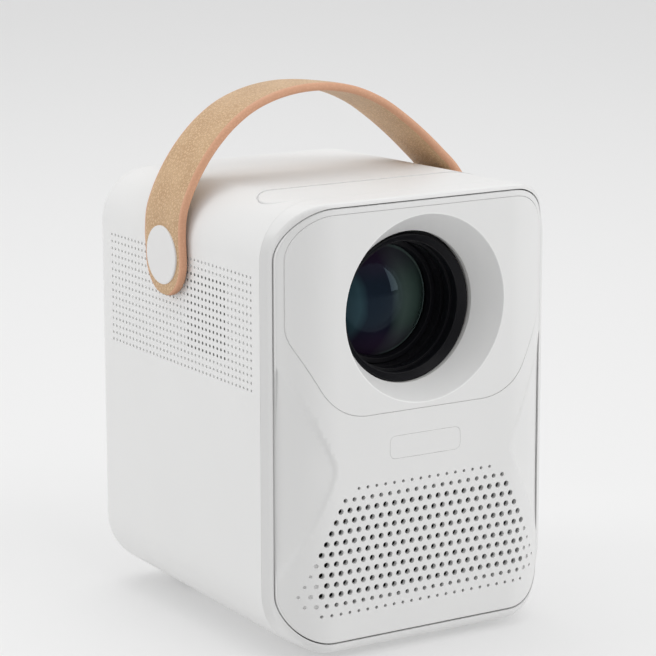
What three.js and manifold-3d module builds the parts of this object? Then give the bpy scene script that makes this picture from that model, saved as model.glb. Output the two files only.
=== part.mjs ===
// Home projector with a leather carrying strap.
// Units are millimetres. +X is the projector's left-to-right as seen from the front,
// the lens looks along -Y and +Z is up. The feet stand on z = 0.
import * as THREE from "three";
import { mergeVertices } from "three/addons/utils/BufferGeometryUtils.js";
import Module from "manifold-3d";

const wasm = await Module();
wasm.setup();

// ---- Driving dimensions -------------------------------------------------------------

const HALF_WIDTH = 56;
const DEPTH = 125;
const FRONT = -DEPTH / 2;
const REAR = DEPTH / 2;
const BOTTOM = 2.3;
const TOP = 153.1;
const DRAFT = 0.037;
const DRAFT_CENTRE = 77.8;
const CORNER_TOP = 19;
const CORNER_BOTTOM = 21.5;
const WALL = 2.4;
const GAP = 0.3;
const CREASE = -50;
const REAR_FILLET = 6;

const FLAT_HALF = 33.9;
const BEND = 23.5;
const SEAM_HALF = 52.8;
const SEAM_TOP = 151.5;
const SEAM_BOTTOM = 6.5;
const SEAM_CORNER = 17.4;

const LENS_Z = 113.3;
const RECESS_Z = 115.3;
const RECESS_R = 31.15;
const THROAT_Z = 113.86;
const THROAT_R = 25.6;
const THROAT_DEPTH = 11.05;

const SCREW_X = 26;
const SCREW_Z = LENS_Z - 19.4;

const STRAP_Y = 8.3;
const STRAP_Z = 128;
const STRAP_LEAN = 3;
const STRAP_HALF = 13.0;
const STRAP_TIP = 14.0;
const STRAP_THICK = 3.3;
const CAP_R = 10;
const CAP_SEAT = 58.5;
const CAP_FACE = 60.1;

const ENGINE_Y = 20;

// ---- Small helpers ------------------------------------------------------------------

const part = new THREE.Group();
part.name = "home_projector";

const white = [0xe6e4e0, 0.45, 0];
const innerWhite = [0xd9d7d2, 0.6, 0];
const black = [0x141416, 0.55, 0];
const glassTint = [0x5d7683, 0.05, 0];
const clear = [0xc9d6da, 0.08, 0];
const steel = [0xb9babc, 0.35, 1];
const copper = [0xb4734a, 0.4, 1];
const alloy = [0xa6a9ad, 0.45, 1];
const leather = [0xc79a6c, 0.7, 0];
const rubber = [0x2b2b2c, 0.9, 0];
const board = [0x1f5b3a, 0.6, 0];
const brass = [0xc0a05a, 0.35, 1];

function add(name, geometry, [colour, roughness, metalness]) {
  const look = new THREE.MeshStandardMaterial({ color: colour, roughness, metalness });
  const mesh = new THREE.Mesh(geometry, look);
  mesh.name = name;
  part.add(mesh);
}

function toManifold(geometry) {
  const plain = geometry.clone();
  plain.deleteAttribute("normal");
  plain.deleteAttribute("uv");
  const welded = mergeVertices(plain, 1e-4);
  return new wasm.Manifold(new wasm.Mesh({
    numProp: 3,
    vertProperties: new Float32Array(welded.attributes.position.array),
    triVerts: new Uint32Array(welded.index.array),
  }));
}

function fromManifold(solid) {
  const data = solid.getMesh();
  const geometry = new THREE.BufferGeometry();
  geometry.setAttribute("position", new THREE.BufferAttribute(data.vertProperties, 3));
  geometry.setIndex(new THREE.BufferAttribute(data.triVerts, 1));
  return geometry;
}

function union(tools) {
  return tools.map(toManifold).reduce((all, next) => all.add(next));
}

// The first solid, plus the others in `more`, minus everything in `less`.
function shaped(first, { more = [], less = [], keep = null }) {
  let solid = toManifold(first);
  if (keep) solid = solid.intersect(toManifold(keep));
  if (more.length) solid = solid.add(union(more));
  if (less.length) solid = solid.subtract(union(less));
  return fromManifold(solid);
}

function box(x0, x1, y0, y1, z0, z1) {
  const geometry = new THREE.BoxGeometry(x1 - x0, y1 - y0, z1 - z0);
  return geometry.translate((x0 + x1) / 2, (y0 + y1) / 2, (z0 + z1) / 2);
}

// Round bars along each axis: `a` and `b` are the positions on the other two axes.
function barY(r, y0, y1, x, z, sides = 16) {
  return new THREE.CylinderGeometry(r, r, y1 - y0, sides).translate(x, (y0 + y1) / 2, z);
}

function barX(r, x0, x1, y, z, sides = 16) {
  const bar = new THREE.CylinderGeometry(r, r, x1 - x0, sides).rotateZ(Math.PI / 2);
  return bar.translate((x0 + x1) / 2, y, z);
}

function barZ(r, z0, z1, x, y, sides = 16) {
  const bar = new THREE.CylinderGeometry(r, r, z1 - z0, sides).rotateX(Math.PI / 2);
  return bar.translate(x, y, (z0 + z1) / 2);
}

// A turned piece about the +Y direction: the profile is a closed loop of [radius, y].
function turnedY(profile, x, z, sides = 28) {
  const points = [...profile, profile[0]].map(([r, y]) => new THREE.Vector2(r, y));
  return fromManifold(outward(new THREE.LatheGeometry(points, sides))).translate(x, 0, z);
}

function turnedZ(profile, x, y, sides = 16) {
  const points = [...profile, profile[0]].map(([r, z]) => new THREE.Vector2(r, z));
  const solid = fromManifold(outward(new THREE.LatheGeometry(points, sides)));
  return solid.rotateX(Math.PI / 2).translate(x, y, 0);
}

// Makes sure that a turned piece faces out, whichever way its profile runs.
function outward(geometry) {
  const index = geometry.index.array;
  let volume = 0;
  const corner = [new THREE.Vector3(), new THREE.Vector3(), new THREE.Vector3()];
  for (let i = 0; i < index.length; i += 3) {
    corner.forEach((v, k) => v.fromBufferAttribute(geometry.attributes.position, index[i + k]));
    volume += corner[0].dot(corner[1].clone().cross(corner[2]));
  }
  if (volume < 0) {
    for (let i = 0; i < index.length; i += 3) {
      [index[i], index[i + 1]] = [index[i + 1], index[i]];
    }
  }
  return toManifold(geometry);
}

// A flat outline with rounded corners: each point is [a, b, radius].
function rounded(points, steps = 5) {
  const out = [];
  points.forEach(([x, y, r], i) => {
    const here = new THREE.Vector2(x, y);
    if (!r) {
      out.push(here);
      return;
    }
    const before = points[(i + points.length - 1) % points.length];
    const after = points[(i + 1) % points.length];
    const back = new THREE.Vector2(before[0], before[1]).sub(here).normalize();
    const on = new THREE.Vector2(after[0], after[1]).sub(here).normalize();
    const half = Math.acos(THREE.MathUtils.clamp(back.dot(on), -1, 1)) / 2;
    const reach = r / Math.tan(half);
    const centre = here.clone().add(back.clone().add(on).normalize().multiplyScalar(r / Math.sin(half)));
    const start = here.clone().add(back.multiplyScalar(reach)).sub(centre);
    const end = here.clone().add(on.multiplyScalar(reach)).sub(centre);
    const turn = Math.atan2(start.x * end.y - start.y * end.x, start.dot(end));
    for (let k = 0; k <= steps; k += 1) {
      out.push(start.clone().rotateAround(new THREE.Vector2(), (turn * k) / steps).add(centre));
    }
  });
  return out;
}

function rectangle(x0, x1, y0, y1, r) {
  return [[x1, y0, r], [x1, y1, r], [x0, y1, r], [x0, y0, r]];
}

function slabZ(points, z0, z1) {
  const shape = new THREE.Shape(points);
  const solid = new THREE.ExtrudeGeometry(shape, { depth: z1 - z0, bevelEnabled: false });
  return solid.translate(0, 0, z0);
}

// A slab whose outline is drawn in x and z, between two depths.
function slabY(points, y0, y1) {
  return slabZ(points, -y1, -y0).rotateX(Math.PI / 2);
}

// Skins a row of loops that all have the same number of [x, y, z] points.
// `around` closes the row into a tube; without it both ends are capped.
function loft(loops, around) {
  const n = loops[0].length;
  const index = [];
  const rows = around ? loops.length : loops.length - 1;
  for (let j = 0; j < rows; j += 1) {
    const next = (j + 1) % loops.length;
    for (let i = 0; i < n; i += 1) {
      const k = (i + 1) % n;
      index.push(j * n + i, j * n + k, next * n + i);
      index.push(j * n + k, next * n + k, next * n + i);
    }
  }
  if (!around) {
    const last = (loops.length - 1) * n;
    for (let i = 1; i < n - 1; i += 1) {
      index.push(0, i + 1, i);
      index.push(last, last + i, last + i + 1);
    }
  }
  const geometry = new THREE.BufferGeometry();
  geometry.setAttribute("position", new THREE.Float32BufferAttribute(loops.flat(2), 3));
  geometry.setIndex(new THREE.BufferAttribute(new Uint32Array(index), 1));
  return fromManifold(outward(geometry));
}

// The case gets slightly lower towards its rear, at the top and at the bottom.
function drafted([x, y, z]) {
  const scale = 1 - (DRAFT * (y - FRONT)) / DEPTH;
  return [x, y, DRAFT_CENTRE + (z - DRAFT_CENTRE) * scale];
}

const topAt = (y) => drafted([0, y, TOP])[2];
const bottomAt = (y) => drafted([0, y, BOTTOM])[2];

// Outline of the case seen from the front, as points with their outward directions.
function caseOutline(steps = 6) {
  const corners = [
    [HALF_WIDTH - CORNER_BOTTOM, BOTTOM + CORNER_BOTTOM, CORNER_BOTTOM, -90],
    [HALF_WIDTH - CORNER_TOP, TOP - CORNER_TOP, CORNER_TOP, 0],
    [-HALF_WIDTH + CORNER_TOP, TOP - CORNER_TOP, CORNER_TOP, 90],
    [-HALF_WIDTH + CORNER_BOTTOM, BOTTOM + CORNER_BOTTOM, CORNER_BOTTOM, 180],
  ];
  return corners.flatMap(([x, z, r, start]) => {
    const arc = [];
    for (let k = 0; k <= steps; k += 1) {
      const a = THREE.MathUtils.degToRad(start + (90 * k) / steps);
      arc.push({ x: x + r * Math.cos(a), z: z + r * Math.sin(a), nx: Math.cos(a), nz: Math.sin(a) });
    }
    return arc;
  });
}

// One loop of the case: `inset` and `depth` may be numbers or functions of an outline point.
function caseLoop(inset, depth) {
  return caseOutline().map((p) => {
    const d = typeof inset === "number" ? inset : inset(p);
    const x = p.x - d * p.nx;
    const y = typeof depth === "number" ? depth : depth(p, x);
    return drafted([x, y, p.z - d * p.nz]);
  });
}

// A value that differs between the sides, the top and the bottom of the case.
function around(side, top, bottom) {
  return (p) => side * p.nx * p.nx + (p.nz > 0 ? top : bottom) * p.nz * p.nz;
}

// Depth of the curved front at a distance x from the middle.
function frontAt(x) {
  const d = Math.abs(x);
  if (d <= FLAT_HALF) return FRONT;
  if (d <= SEAM_HALF) return FRONT + BEND - Math.sqrt(BEND ** 2 - (d - FLAT_HALF) ** 2);
  return frontAt(SEAM_HALF) + (d - SEAM_HALF) * ((CREASE - frontAt(SEAM_HALF)) / (HALF_WIDTH - SEAM_HALF));
}

// Depth at x of a surface that lies a distance d behind the curved front.
function behindFront(x, d) {
  const out = Math.abs(x) - FLAT_HALF;
  if (out <= 0) return FRONT + d;
  return FRONT + BEND - Math.sqrt((BEND - d) ** 2 - out ** 2);
}

// A curved strip that follows the front, between two distances behind its surface.
function frontStrip(d0, d1) {
  const side = (d, sign) => {
    const line = [];
    for (let k = 0; k <= 8; k += 1) {
      const a = THREE.MathUtils.degToRad((66 * k) / 8);
      const r = BEND - d;
      line.push([sign * (FLAT_HALF + r * Math.sin(a)), FRONT + BEND - r * Math.cos(a)]);
    }
    return line;
  };
  const outer = [...side(d0, -1).reverse(), ...side(d0, 1)];
  const inner = [...side(d1, -1).reverse(), ...side(d1, 1)];
  const points = [...outer, ...inner.reverse()].map(([x, y]) => new THREE.Vector2(x, y));
  return slabZ(points, 0, 160);
}

// ---- Case ---------------------------------------------------------------------------

function mainShell() {
  const loops = [caseLoop(0, CREASE)];
  for (let k = 0; k <= 4; k += 1) {
    const a = (Math.PI / 2) * (k / 4);
    loops.push(caseLoop(REAR_FILLET * (1 - Math.cos(a)), REAR - REAR_FILLET * (1 - Math.sin(a))));
  }
  loops.push(caseLoop(REAR_FILLET, REAR - 2.7));
  loops.push(caseLoop(8.6, REAR - 2.7));
  loops.push(caseLoop(8.6, REAR - 5));
  loops.push(caseLoop(WALL, REAR - 9));
  loops.push(caseLoop(WALL, CREASE));
  const holes = [-1, 1].map((s) => barX(5.2, s > 0 ? 50 : -60, s > 0 ? 60 : -50, STRAP_Y, STRAP_Z));
  const floor = footPlaces().map(([x, y]) => barZ(2.3, 0, 12, x, y, 16));
  const strip = shaped(stripPrism(0), { less: [caseSolid(0.9)] });
  return shaped(loft(loops, true), { less: [...holes, ...floor, strip, barZ(5.3, 0, 12, 0, 12)] });
}

// The whole case as a solid body, moved inwards by a distance.
function caseSolid(inset) {
  return loft([caseLoop(inset, CREASE), caseLoop(inset, REAR - REAR_FILLET)], false);
}

// The stadium-shaped field for the touch keys, which runs over on to the rounded top edges.
function stripPrism(inset) {
  const r = 13.1 - inset;
  const outline = rectangle(-46 + inset, 46 - inset, -48.3 + inset, -22 - inset, r);
  return slabZ(rounded(outline, 8), 140, 170);
}

function touchStrip() {
  return shaped(stripPrism(GAP), { keep: caseSolid(0.1), less: [caseSolid(0.6)] });
}

function touchBoard() {
  return box(-40, 40, -42, -22, topAt(-32) - 5.4, topAt(-32) - 3.8);
}

function frontFrame() {
  const seam = around(HALF_WIDTH - SEAM_HALF, TOP - SEAM_TOP, SEAM_BOTTOM - BOTTOM);
  const lip = (side, top, bottom) => (p, x) => frontAt(x) + around(side, top, bottom)(p);
  const shelf = (p, x) => behindFront(x, WALL + GAP);
  const loops = [
    caseLoop(0, CREASE - GAP),
    caseLoop(around(0.9, 0.05, 0.15), lip(0, 2.2, 4.4)),
    caseLoop(around(2.0, 0.25, 0.9), lip(-0.1, 1.2, 2.4)),
    caseLoop(around(2.8, 0.75, 2.4), lip(-0.3, 0.35, 0.8)),
    caseLoop(seam, lip(-0.1, 0.05, 0.05)),
    caseLoop(seam, shelf),
    caseLoop(5.6, shelf),
    caseLoop(5.6, CREASE + 4),
    caseLoop(WALL + GAP, CREASE + 4),
    caseLoop(WALL + GAP, CREASE - GAP),
  ];
  return loft(loops, true);
}

// Shield-shaped outline of the smooth field round the lens, shrunk by d.
function lensField(d) {
  const side = 50.2 - d;
  const foot = 34.2 - 0.578 * d;
  const top = 149.3 - d;
  const waist = 109.9 + 0.267 * d;
  const bottom = 82.1 + d;
  return rounded([
    [foot, bottom, 20], [side, waist, 15], [side, top, 14.8 - d],
    [-side, top, 14.8 - d], [-side, waist, 15], [-foot, bottom, 20],
  ]);
}

function grilleRows() {
  const rows = [[-7, 15, "small"], [-6, 18, "medium"], [-5, 19], [-4, 20], [-3, 21], [-2, 22],
    [-1, 23], [0, 22], [1, 23], [2, 22], [3, 23], [4, 22, "medium"], [5, 23, "small"]];
  return rows.map(([row, reach, size]) => ({ row, reach, size: size ?? "large" }));
}

function grilleHoles() {
  const radius = { large: 1.0, medium: 0.785, small: 0.565 };
  const square = 1.25;
  const holes = [];
  for (const { row, reach, size } of grilleRows()) {
    for (let u = -reach; u <= reach; u += 2) {
      const z = 33.76 - 3.48 * row;
      holes.push(barY(radius[size] * square, FRONT - 1, FRONT + 12, 1.74 * u, z, 4));
    }
  }
  return holes;
}

// The shallow sunken area on each side of the waist of the front panel.
function waistScoop(side) {
  const points = [[34.2, 65, 17], [54, 28, 0], [60, 28, 0], [60, 102, 0], [54, 102, 0]];
  const outline = rounded(points.map(([x, z, r]) => [side * x, z, r]));
  if (side < 0) outline.reverse();
  return shaped(frontStrip(-3, 0.5), { keep: slabY(outline, -80, -40) });
}

const BADGE = [14.1, 65.9, 73.95, 2.3];

function frontPanel() {
  const outline = rounded(rectangle(-SEAM_HALF + GAP, SEAM_HALF - GAP,
    SEAM_BOTTOM + GAP, SEAM_TOP - GAP, SEAM_CORNER));
  const [half, low, high, r] = BADGE;
  const pocket = slabY(rounded(rectangle(-half, half, low, high, r), 3), FRONT - 1, FRONT + 0.8);
  return shaped(frontStrip(0, WALL), {
    keep: slabY(outline, -80, -40),
    less: [slabY(lensField(0), -80, -40), pocket, waistScoop(1), waistScoop(-1), ...grilleHoles()],
  });
}

function badge() {
  const [half, low, high, r] = BADGE;
  const gap = 0.15;
  const plate = rectangle(-half + gap, half - gap, low + gap, high - gap, r - gap);
  return slabY(rounded(plate, 3), FRONT, FRONT + 0.65);
}

// A round cone about +Y whose two ends may have different heights.
function cone(y0, z0, r0, y1, z1, r1, sides = 32) {
  const ring = (y, z, r) => {
    const loop = [];
    for (let k = 0; k < sides; k += 1) {
      const a = (2 * Math.PI * k) / sides;
      loop.push([r * Math.sin(a), y, z + r * Math.cos(a)]);
    }
    return loop;
  };
  return loft([ring(y0, z0, r0), ring(y1, z1, r1)], false);
}

// The field round the lens, with the cone that leads in to it and a flange behind.
function lensPanel() {
  const plate = shaped(frontStrip(0, WALL), { keep: slabY(lensField(GAP), -80, -40) });
  const inside = slabY(rounded(rectangle(-50.1, 50.1, 60, 147.2, 13)), -80, -40);
  const core = shaped(frontStrip(WALL - 0.2, 4.2), { keep: slabY(lensField(GAP), -80, -40) });
  const lip = shaped(frontStrip(WALL + GAP, 4.2), { keep: slabY(lensField(-1.6), -80, -40) });
  const flange = shaped(shaped(core, { more: [lip] }), { keep: inside });
  const throat = FRONT + THROAT_DEPTH;
  const wall = cone(FRONT + 1, RECESS_Z, RECESS_R + 2, throat + 3.5, THROAT_Z, THROAT_R + 2.2);
  const slope = (RECESS_R - THROAT_R) / THROAT_DEPTH;
  const drop = (RECESS_Z - THROAT_Z) / THROAT_DEPTH;
  const hollow = cone(FRONT - 2, RECESS_Z + 2 * drop, RECESS_R + 2 * slope, throat, THROAT_Z, THROAT_R);
  const bore = barY(THROAT_R, throat - 0.01, throat + 5, 0, THROAT_Z, 32);
  return shaped(plate, { more: [flange, wall], less: [hollow, bore] });
}

function rearCover() {
  const outline = caseLoop(REAR_FILLET + GAP, REAR).map(([x, , z]) => new THREE.Vector2(x, z));
  const slots = [];
  for (let k = 0; k < 9; k += 1) {
    const z = 17 + 5 * k;
    slots.push(box(-30, 30, 50, 70, z, z + 2.4));
  }
  const ports = [box(-34.6, -18.4, 50, 70, 76.7, 83.3), box(-10.6, 3.6, 50, 70, 76.7, 83.3)];
  const round = [barY(3.4, 50, 70, 14, 80), barY(5.4, 50, 70, 32, 80), barY(5.3, 50, 70, 30, 104)];
  const holes = screwPlaces().map(([x, z]) => barY(1.7, 50, 70, x, z, 8));
  const heads = screwPlaces().map(([x, z]) => barY(3.3, REAR - 1.3, 70, x, z, 10));
  const window = box(-4.4, 4.4, 50, 70, 100.6, 107.4);
  const tools = [...slots, ...ports, ...round, ...holes, ...heads, window];
  return shaped(slabY(outline, REAR - 2.4, REAR), { less: tools });
}

const screwPlaces = () => [[-41, 22], [41, 22], [-41, 128], [41, 128]];

function screw(x, z) {
  const head = REAR - 0.1;
  const profile = [[0, 50.5], [1.3, 51.5], [1.3, REAR - 1], [2.9, REAR - 1], [2.9, head], [0, head]];
  const slot = box(x - 1.6, x + 1.6, REAR - 0.6, 70, z - 0.35, z + 0.35);
  const cross = box(x - 0.35, x + 0.35, REAR - 0.6, 70, z - 1.6, z + 1.6);
  return shaped(turnedOnAxis(profile, x, z, 10), { less: [slot, cross] });
}

// A turned piece that has material on its axis.
function turnedOnAxis(profile, x, z, sides = 24) {
  const points = profile.map(([r, y]) => new THREE.Vector2(r, y));
  return fromManifold(outward(new THREE.LatheGeometry(points, sides))).translate(x, 0, z);
}

const footPlaces = () => [[-28, -40], [28, -40], [-28, 42], [28, 42]];

// A push-in foot: the pad stands on the ground and the stem goes through the floor.
function foot(x, y) {
  const under = bottomAt(y + 7) - 0.2 > bottomAt(y - 7) - 0.2 ? bottomAt(y - 7) - 0.2 : 2;
  const points = [[0, 0], [5.6, 0], [6.4, 0.6], [6.4, under], [2.1, under], [2.1, under + 4.4],
    [3.4, under + 4.9], [1.6, under + 8], [0, under + 8]];
  const line = points.map(([r, z]) => new THREE.Vector2(r, z));
  const solid = fromManifold(outward(new THREE.LatheGeometry(line, 12)));
  return solid.rotateX(Math.PI / 2).translate(x, y, 0);
}

function tripodInsert() {
  const low = bottomAt(12);
  const collar = low + 4.6;
  const top = low + 9;
  return turnedZ([[2.6, low], [5.1, low], [5.1, collar], [7.5, collar], [7.5, top], [2.6, top]], 0, 12);
}

// ---- Strap --------------------------------------------------------------------------

// The strap's outer line, seen from the front, as [x, height over the pivot]. It sways a little
// to the left, as a soft strap does, and stays clear of the rounded case edges.
function strapLine() {
  const leftLeg = [[-59.5, -STRAP_TIP], [-59.5, 0], [-59.5, 8], [-58.6, 15], [-56.1, 21.5], [-52.8, 27.5],
    [-48.8, 33.3], [-43.8, 39], [-37.6, 44.5], [-29, 49.8], [-17, 53.7], [-3, 55]];
  const rightLeg = [[11.5, 53], [23.5, 48], [33.2, 41.4], [41.2, 34.8], [47.8, 28.6], [53.9, 22.3],
    [58.2, 15], [59.5, 8], [59.5, 0], [59.5, -STRAP_TIP]];
  const points = [...leftLeg, ...rightLeg].reverse().map(([x, h]) => new THREE.Vector3(x, 0, h));
  return new THREE.CatmullRomCurve3(points, false, "centripetal");
}

function strapSection(curve, t, length) {
  const here = curve.getPointAt(t);
  const along = curve.getTangentAt(t);
  const inward = new THREE.Vector3(along.z, 0, -along.x).negate();
  const fromEnd = Math.min(t, 1 - t) * length;
  const end = Math.max(0, STRAP_HALF - fromEnd);
  const half = Math.sqrt(Math.max(STRAP_HALF ** 2 - end ** 2, 9));
  const soft = 0.7;
  const edge = [[-half, soft], [-half + soft, 0], [half - soft, 0], [half, soft],
    [half, STRAP_THICK - soft], [half - soft, STRAP_THICK],
    [-half + soft, STRAP_THICK], [-half, STRAP_THICK - soft]];
  return edge.map(([y, d]) => [here.x + inward.x * d, y, here.z + inward.z * d]);
}

function leatherStrap() {
  const curve = strapLine();
  const length = curve.getLength();
  const stops = [0.3, 1.5, 4, 7.5, 12];
  const ends = stops.map((s) => s / length);
  const middle = [];
  for (let k = 1; k < 30; k += 1) {
    middle.push(ends[4] + ((1 - 2 * ends[4]) * k) / 30);
  }
  const stations = [...ends, ...middle, ...ends.map((t) => 1 - t).reverse()];
  const band = loft(stations.map((t) => strapSection(curve, t, length)), false);
  const holes = [barX(3.2, -70, -50, 0, 0, 12), barX(3.2, 50, 70, 0, 0, 12)];
  const seats = [
    barX(CAP_R + 0.3, -70, -CAP_SEAT + 0.1, 0, 0, 32),
    barX(CAP_R + 0.3, CAP_SEAT - 0.1, 70, 0, 0, 32)];
  return lean(shaped(band, { less: [...holes, ...seats] }));
}

// Leans a strap piece back about the pivots and puts it in place.
function lean(geometry) {
  return geometry.rotateX(-THREE.MathUtils.degToRad(STRAP_LEAN)).translate(0, STRAP_Y, STRAP_Z);
}

// Round cap and pin in one piece; the pin runs through the strap and the case wall.
function strapPivot(side) {
  const profile = [[0, CAP_FACE], [CAP_R - 0.5, CAP_FACE], [CAP_R, CAP_FACE - 0.4], [CAP_R, CAP_SEAT],
    [3.0, CAP_SEAT], [3.0, 48.6], [2.4, 48], [0, 48]];
  const points = profile.map(([r, x]) => new THREE.Vector2(r, x));
  const solid = fromManifold(outward(new THREE.LatheGeometry(points, 24)));
  return solid.rotateZ(-side * Math.PI / 2).translate(0, STRAP_Y, STRAP_Z);
}

// Sleeve in the case wall that the pin turns in.
function pivotBush(side) {
  const profile = [[3.1, 56], [5.0, 56], [5.0, 53.3], [6.8, 53.3], [6.8, 51.8], [3.1, 51.8]];
  const points = [...profile, profile[0]].map(([r, x]) => new THREE.Vector2(r, x));
  const solid = fromManifold(outward(new THREE.LatheGeometry(points, 24)));
  return solid.rotateZ(-side * Math.PI / 2).translate(0, STRAP_Y, STRAP_Z);
}

// Washer on the inner end of the pin that stops it pulling out.
function pivotWasher(side) {
  const profile = [[3.05, 51.4], [6, 51.4], [6, 49.6], [3.05, 49.6]];
  const points = [...profile, profile[0]].map(([r, x]) => new THREE.Vector2(r, x));
  const solid = fromManifold(outward(new THREE.LatheGeometry(points, 24)));
  return solid.rotateZ(-side * Math.PI / 2).translate(0, STRAP_Y, STRAP_Z);
}

// ---- Lens ---------------------------------------------------------------------------

// Black stepped ring behind the cone.
function lensHood() {
  const at = (d) => FRONT + d;
  return turnedY([[27.5, at(15)], [24.9, at(15)], [24.9, at(12.4)], [24.5, at(12.2)], [22.3, at(14.6)],
    [22.3, at(18)], [21.5, at(18)], [21.5, at(21)], [27.5, at(21)]], 0, LENS_Z);
}

function guideTube() {
  const at = (d) => FRONT + d;
  const tube = turnedY([[23.6, at(21.3)], [27.5, at(21.3)], [27.5, at(23)],
    [25.4, at(23)], [25.4, at(52)], [23.6, at(52)]], 0, LENS_Z);
  const slot = box(10, 34, at(36), at(60), SCREW_Z - 5, SCREW_Z + 5);
  return shaped(tube, { less: [slot] });
}


// Sliding barrel that carries the glass, with a lug for the focus screw.
function lensBarrel() {
  const at = (d) => FRONT + d;
  const tube = turnedY([[21.6, at(23)], [23.5, at(23)], [23.5, at(46)], [16, at(46)], [16, at(58)],
    [13.4, at(58)], [13.4, at(55)], [12, at(55)], [12, at(50)], [14, at(43.5)], [19, at(43.5)],
    [19, at(34.6)], [21.6, at(34.6)]], 0, LENS_Z);
  const lug = box(13, SCREW_X + 4, at(39), at(44), SCREW_Z - 4, SCREW_Z + 4);
  const bore = barY(1.6, at(30), at(50), SCREW_X, SCREW_Z);
  return shaped(tube, { more: [lug], less: [bore] });
}

function dome(edge, radius, at, steps, towards) {
  const line = [];
  const base = Math.sqrt(radius ** 2 - edge ** 2);
  for (let k = steps; k >= 0; k -= 1) {
    const a = (Math.asin(edge / radius) * k) / steps;
    line.push([radius * Math.sin(a), at + towards * (radius * Math.cos(a) - base)]);
  }
  return line;
}

function frontLens() {
  const profile = [[0, FRONT + 33.1], [19.2, FRONT + 33.1], ...dome(19.2, 30, FRONT + 29.6, 5, -1)];
  return turnedOnAxis(profile, 0, LENS_Z, 28);
}

function frontRetainer() {
  const at = (d) => FRONT + d;
  return turnedY([[21.3, at(26.2)], [21.3, at(33.6)], [19.6, at(33.6)], [19.6, at(28.2)], [19.0, at(28.2)],
    [19.6, at(26.2)]], 0, LENS_Z);
}

function rearLens() {
  const line = [...dome(11.6, 24, FRONT + 50, 3, -1).reverse(), ...dome(11.6, 24, FRONT + 54.4, 3, 1)];
  return turnedOnAxis(line, 0, LENS_Z, 20);
}

function focusMotor() {
  const at = (d) => FRONT + d;
  const can = barY(6, at(24), at(34), SCREW_X, SCREW_Z);
  const plate = box(SCREW_X - 1, SCREW_X + 8, at(33.8), at(35.2), SCREW_Z - 7, SCREW_Z + 1);
  return shaped(can, { more: [plate], less: [barY(1.6, at(26), at(40), SCREW_X, SCREW_Z)] });
}

function focusScrew() {
  return barY(1.5, FRONT + 26.5, FRONT + 56, SCREW_X, SCREW_Z);
}

// ---- Optical engine -----------------------------------------------------------------

// Dark duct that holds the lamp, the picture panel and the mirror.
function opticsHousing() {
  const outer = box(-36, 36, ENGINE_Y - 22, ENGINE_Y + 26, 44, 142);
  const inner = box(-33.5, 33.5, ENGINE_Y - 19.5, ENGINE_Y + 23.5, 40, 139.5);
  const lensHole = barY(17.6, -20, ENGINE_Y - 10, 0, LENS_Z, 24);
  return shaped(outer, { less: [inner, lensHole] });
}

function foldingMirror() {
  const plate = new THREE.BoxGeometry(60, 56, 2);
  return plate.rotateX(THREE.MathUtils.degToRad(45)).translate(0, ENGINE_Y + 1.5, LENS_Z);
}

function opticPlate(z, thick, inset) {
  return box(-33.2 + inset, 33.2 - inset, ENGINE_Y - 19.2 + inset, ENGINE_Y + 23.2 - inset, z, z + thick);
}

function condenser() {
  const line = [...dome(14, 16, 36, 5, 1).reverse().map(([r, z]) => [r, z]), [14, 34], [0, 34]];
  const points = line.map(([r, z]) => new THREE.Vector2(r, z));
  const solid = fromManifold(outward(new THREE.LatheGeometry(points, 24)));
  return solid.rotateX(Math.PI / 2).translate(0, ENGINE_Y + 2, 0);
}

// Square lamp hood that stands on the LED board and holds the condenser above it.
function lampHood() {
  const cy = ENGINE_Y + 2;
  const outer = box(-18, 18, cy - 18, cy + 18, 26.3, 43.7);
  return shaped(outer, { less: [barZ(14.3, 33.6, 50, 0, cy), barZ(12.6, 20, 40, 0, cy)] });
}

function ledBoard() {
  const cy = ENGINE_Y + 2;
  return shaped(box(-17, 17, cy - 17, cy + 17, 24.3, 26), { more: [box(-5, 5, cy - 5, cy + 5, 25.5, 26.8)] });
}

function heatSink() {
  const cy = ENGINE_Y + 2;
  const base = box(-26, 26, cy - 22, cy + 16, 21, 24);
  const fins = [];
  for (let k = 0; k < 10; k += 1) {
    const x = -26 + (50.5 * k) / 9;
    fins.push(box(x, x + 1.5, cy - 22, cy + 16, 14.8, 22));
  }
  return shaped(base, { more: fins });
}

const FAN_Z = 38;
const FAN_Y = 51.4;

function fanFrame() {
  const outer = slabY(rounded(rectangle(-25, 25, FAN_Z - 25, FAN_Z + 25, 3), 3), FAN_Y - 5, FAN_Y + 5);
  const bore = barY(23.6, FAN_Y - 3.5, FAN_Y + 8, 0, FAN_Z, 28);
  const inlets = [];
  for (let k = 0; k < 4; k += 1) {
    const a = Math.PI / 4 + (k * Math.PI) / 2;
    inlets.push(barY(7.6, FAN_Y - 8, FAN_Y, 15 * Math.cos(a), FAN_Z + 15 * Math.sin(a), 10));
  }
  const bearing = barY(1.6, FAN_Y - 8, FAN_Y, 0, FAN_Z, 12);
  return shaped(outer, { less: [bore, bearing, ...inlets] });
}

function fanRotor() {
  const hub = barY(9, FAN_Y - 3, FAN_Y + 4, 0, FAN_Z, 20);
  const blades = [barY(1.5, FAN_Y - 4.8, FAN_Y, 0, FAN_Z, 12)];
  for (let k = 0; k < 6; k += 1) {
    const blade = new THREE.BoxGeometry(1.2, 8, 15.2).rotateZ(THREE.MathUtils.degToRad(38));
    blade.translate(0, 0, 15).rotateY((2 * Math.PI * k) / 6).translate(0, FAN_Y + 0.5, FAN_Z);
    blades.push(blade);
  }
  return shaped(hub, { more: blades });
}

// ---- Sound --------------------------------------------------------------------------

const SOUND_Z = 36;

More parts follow.
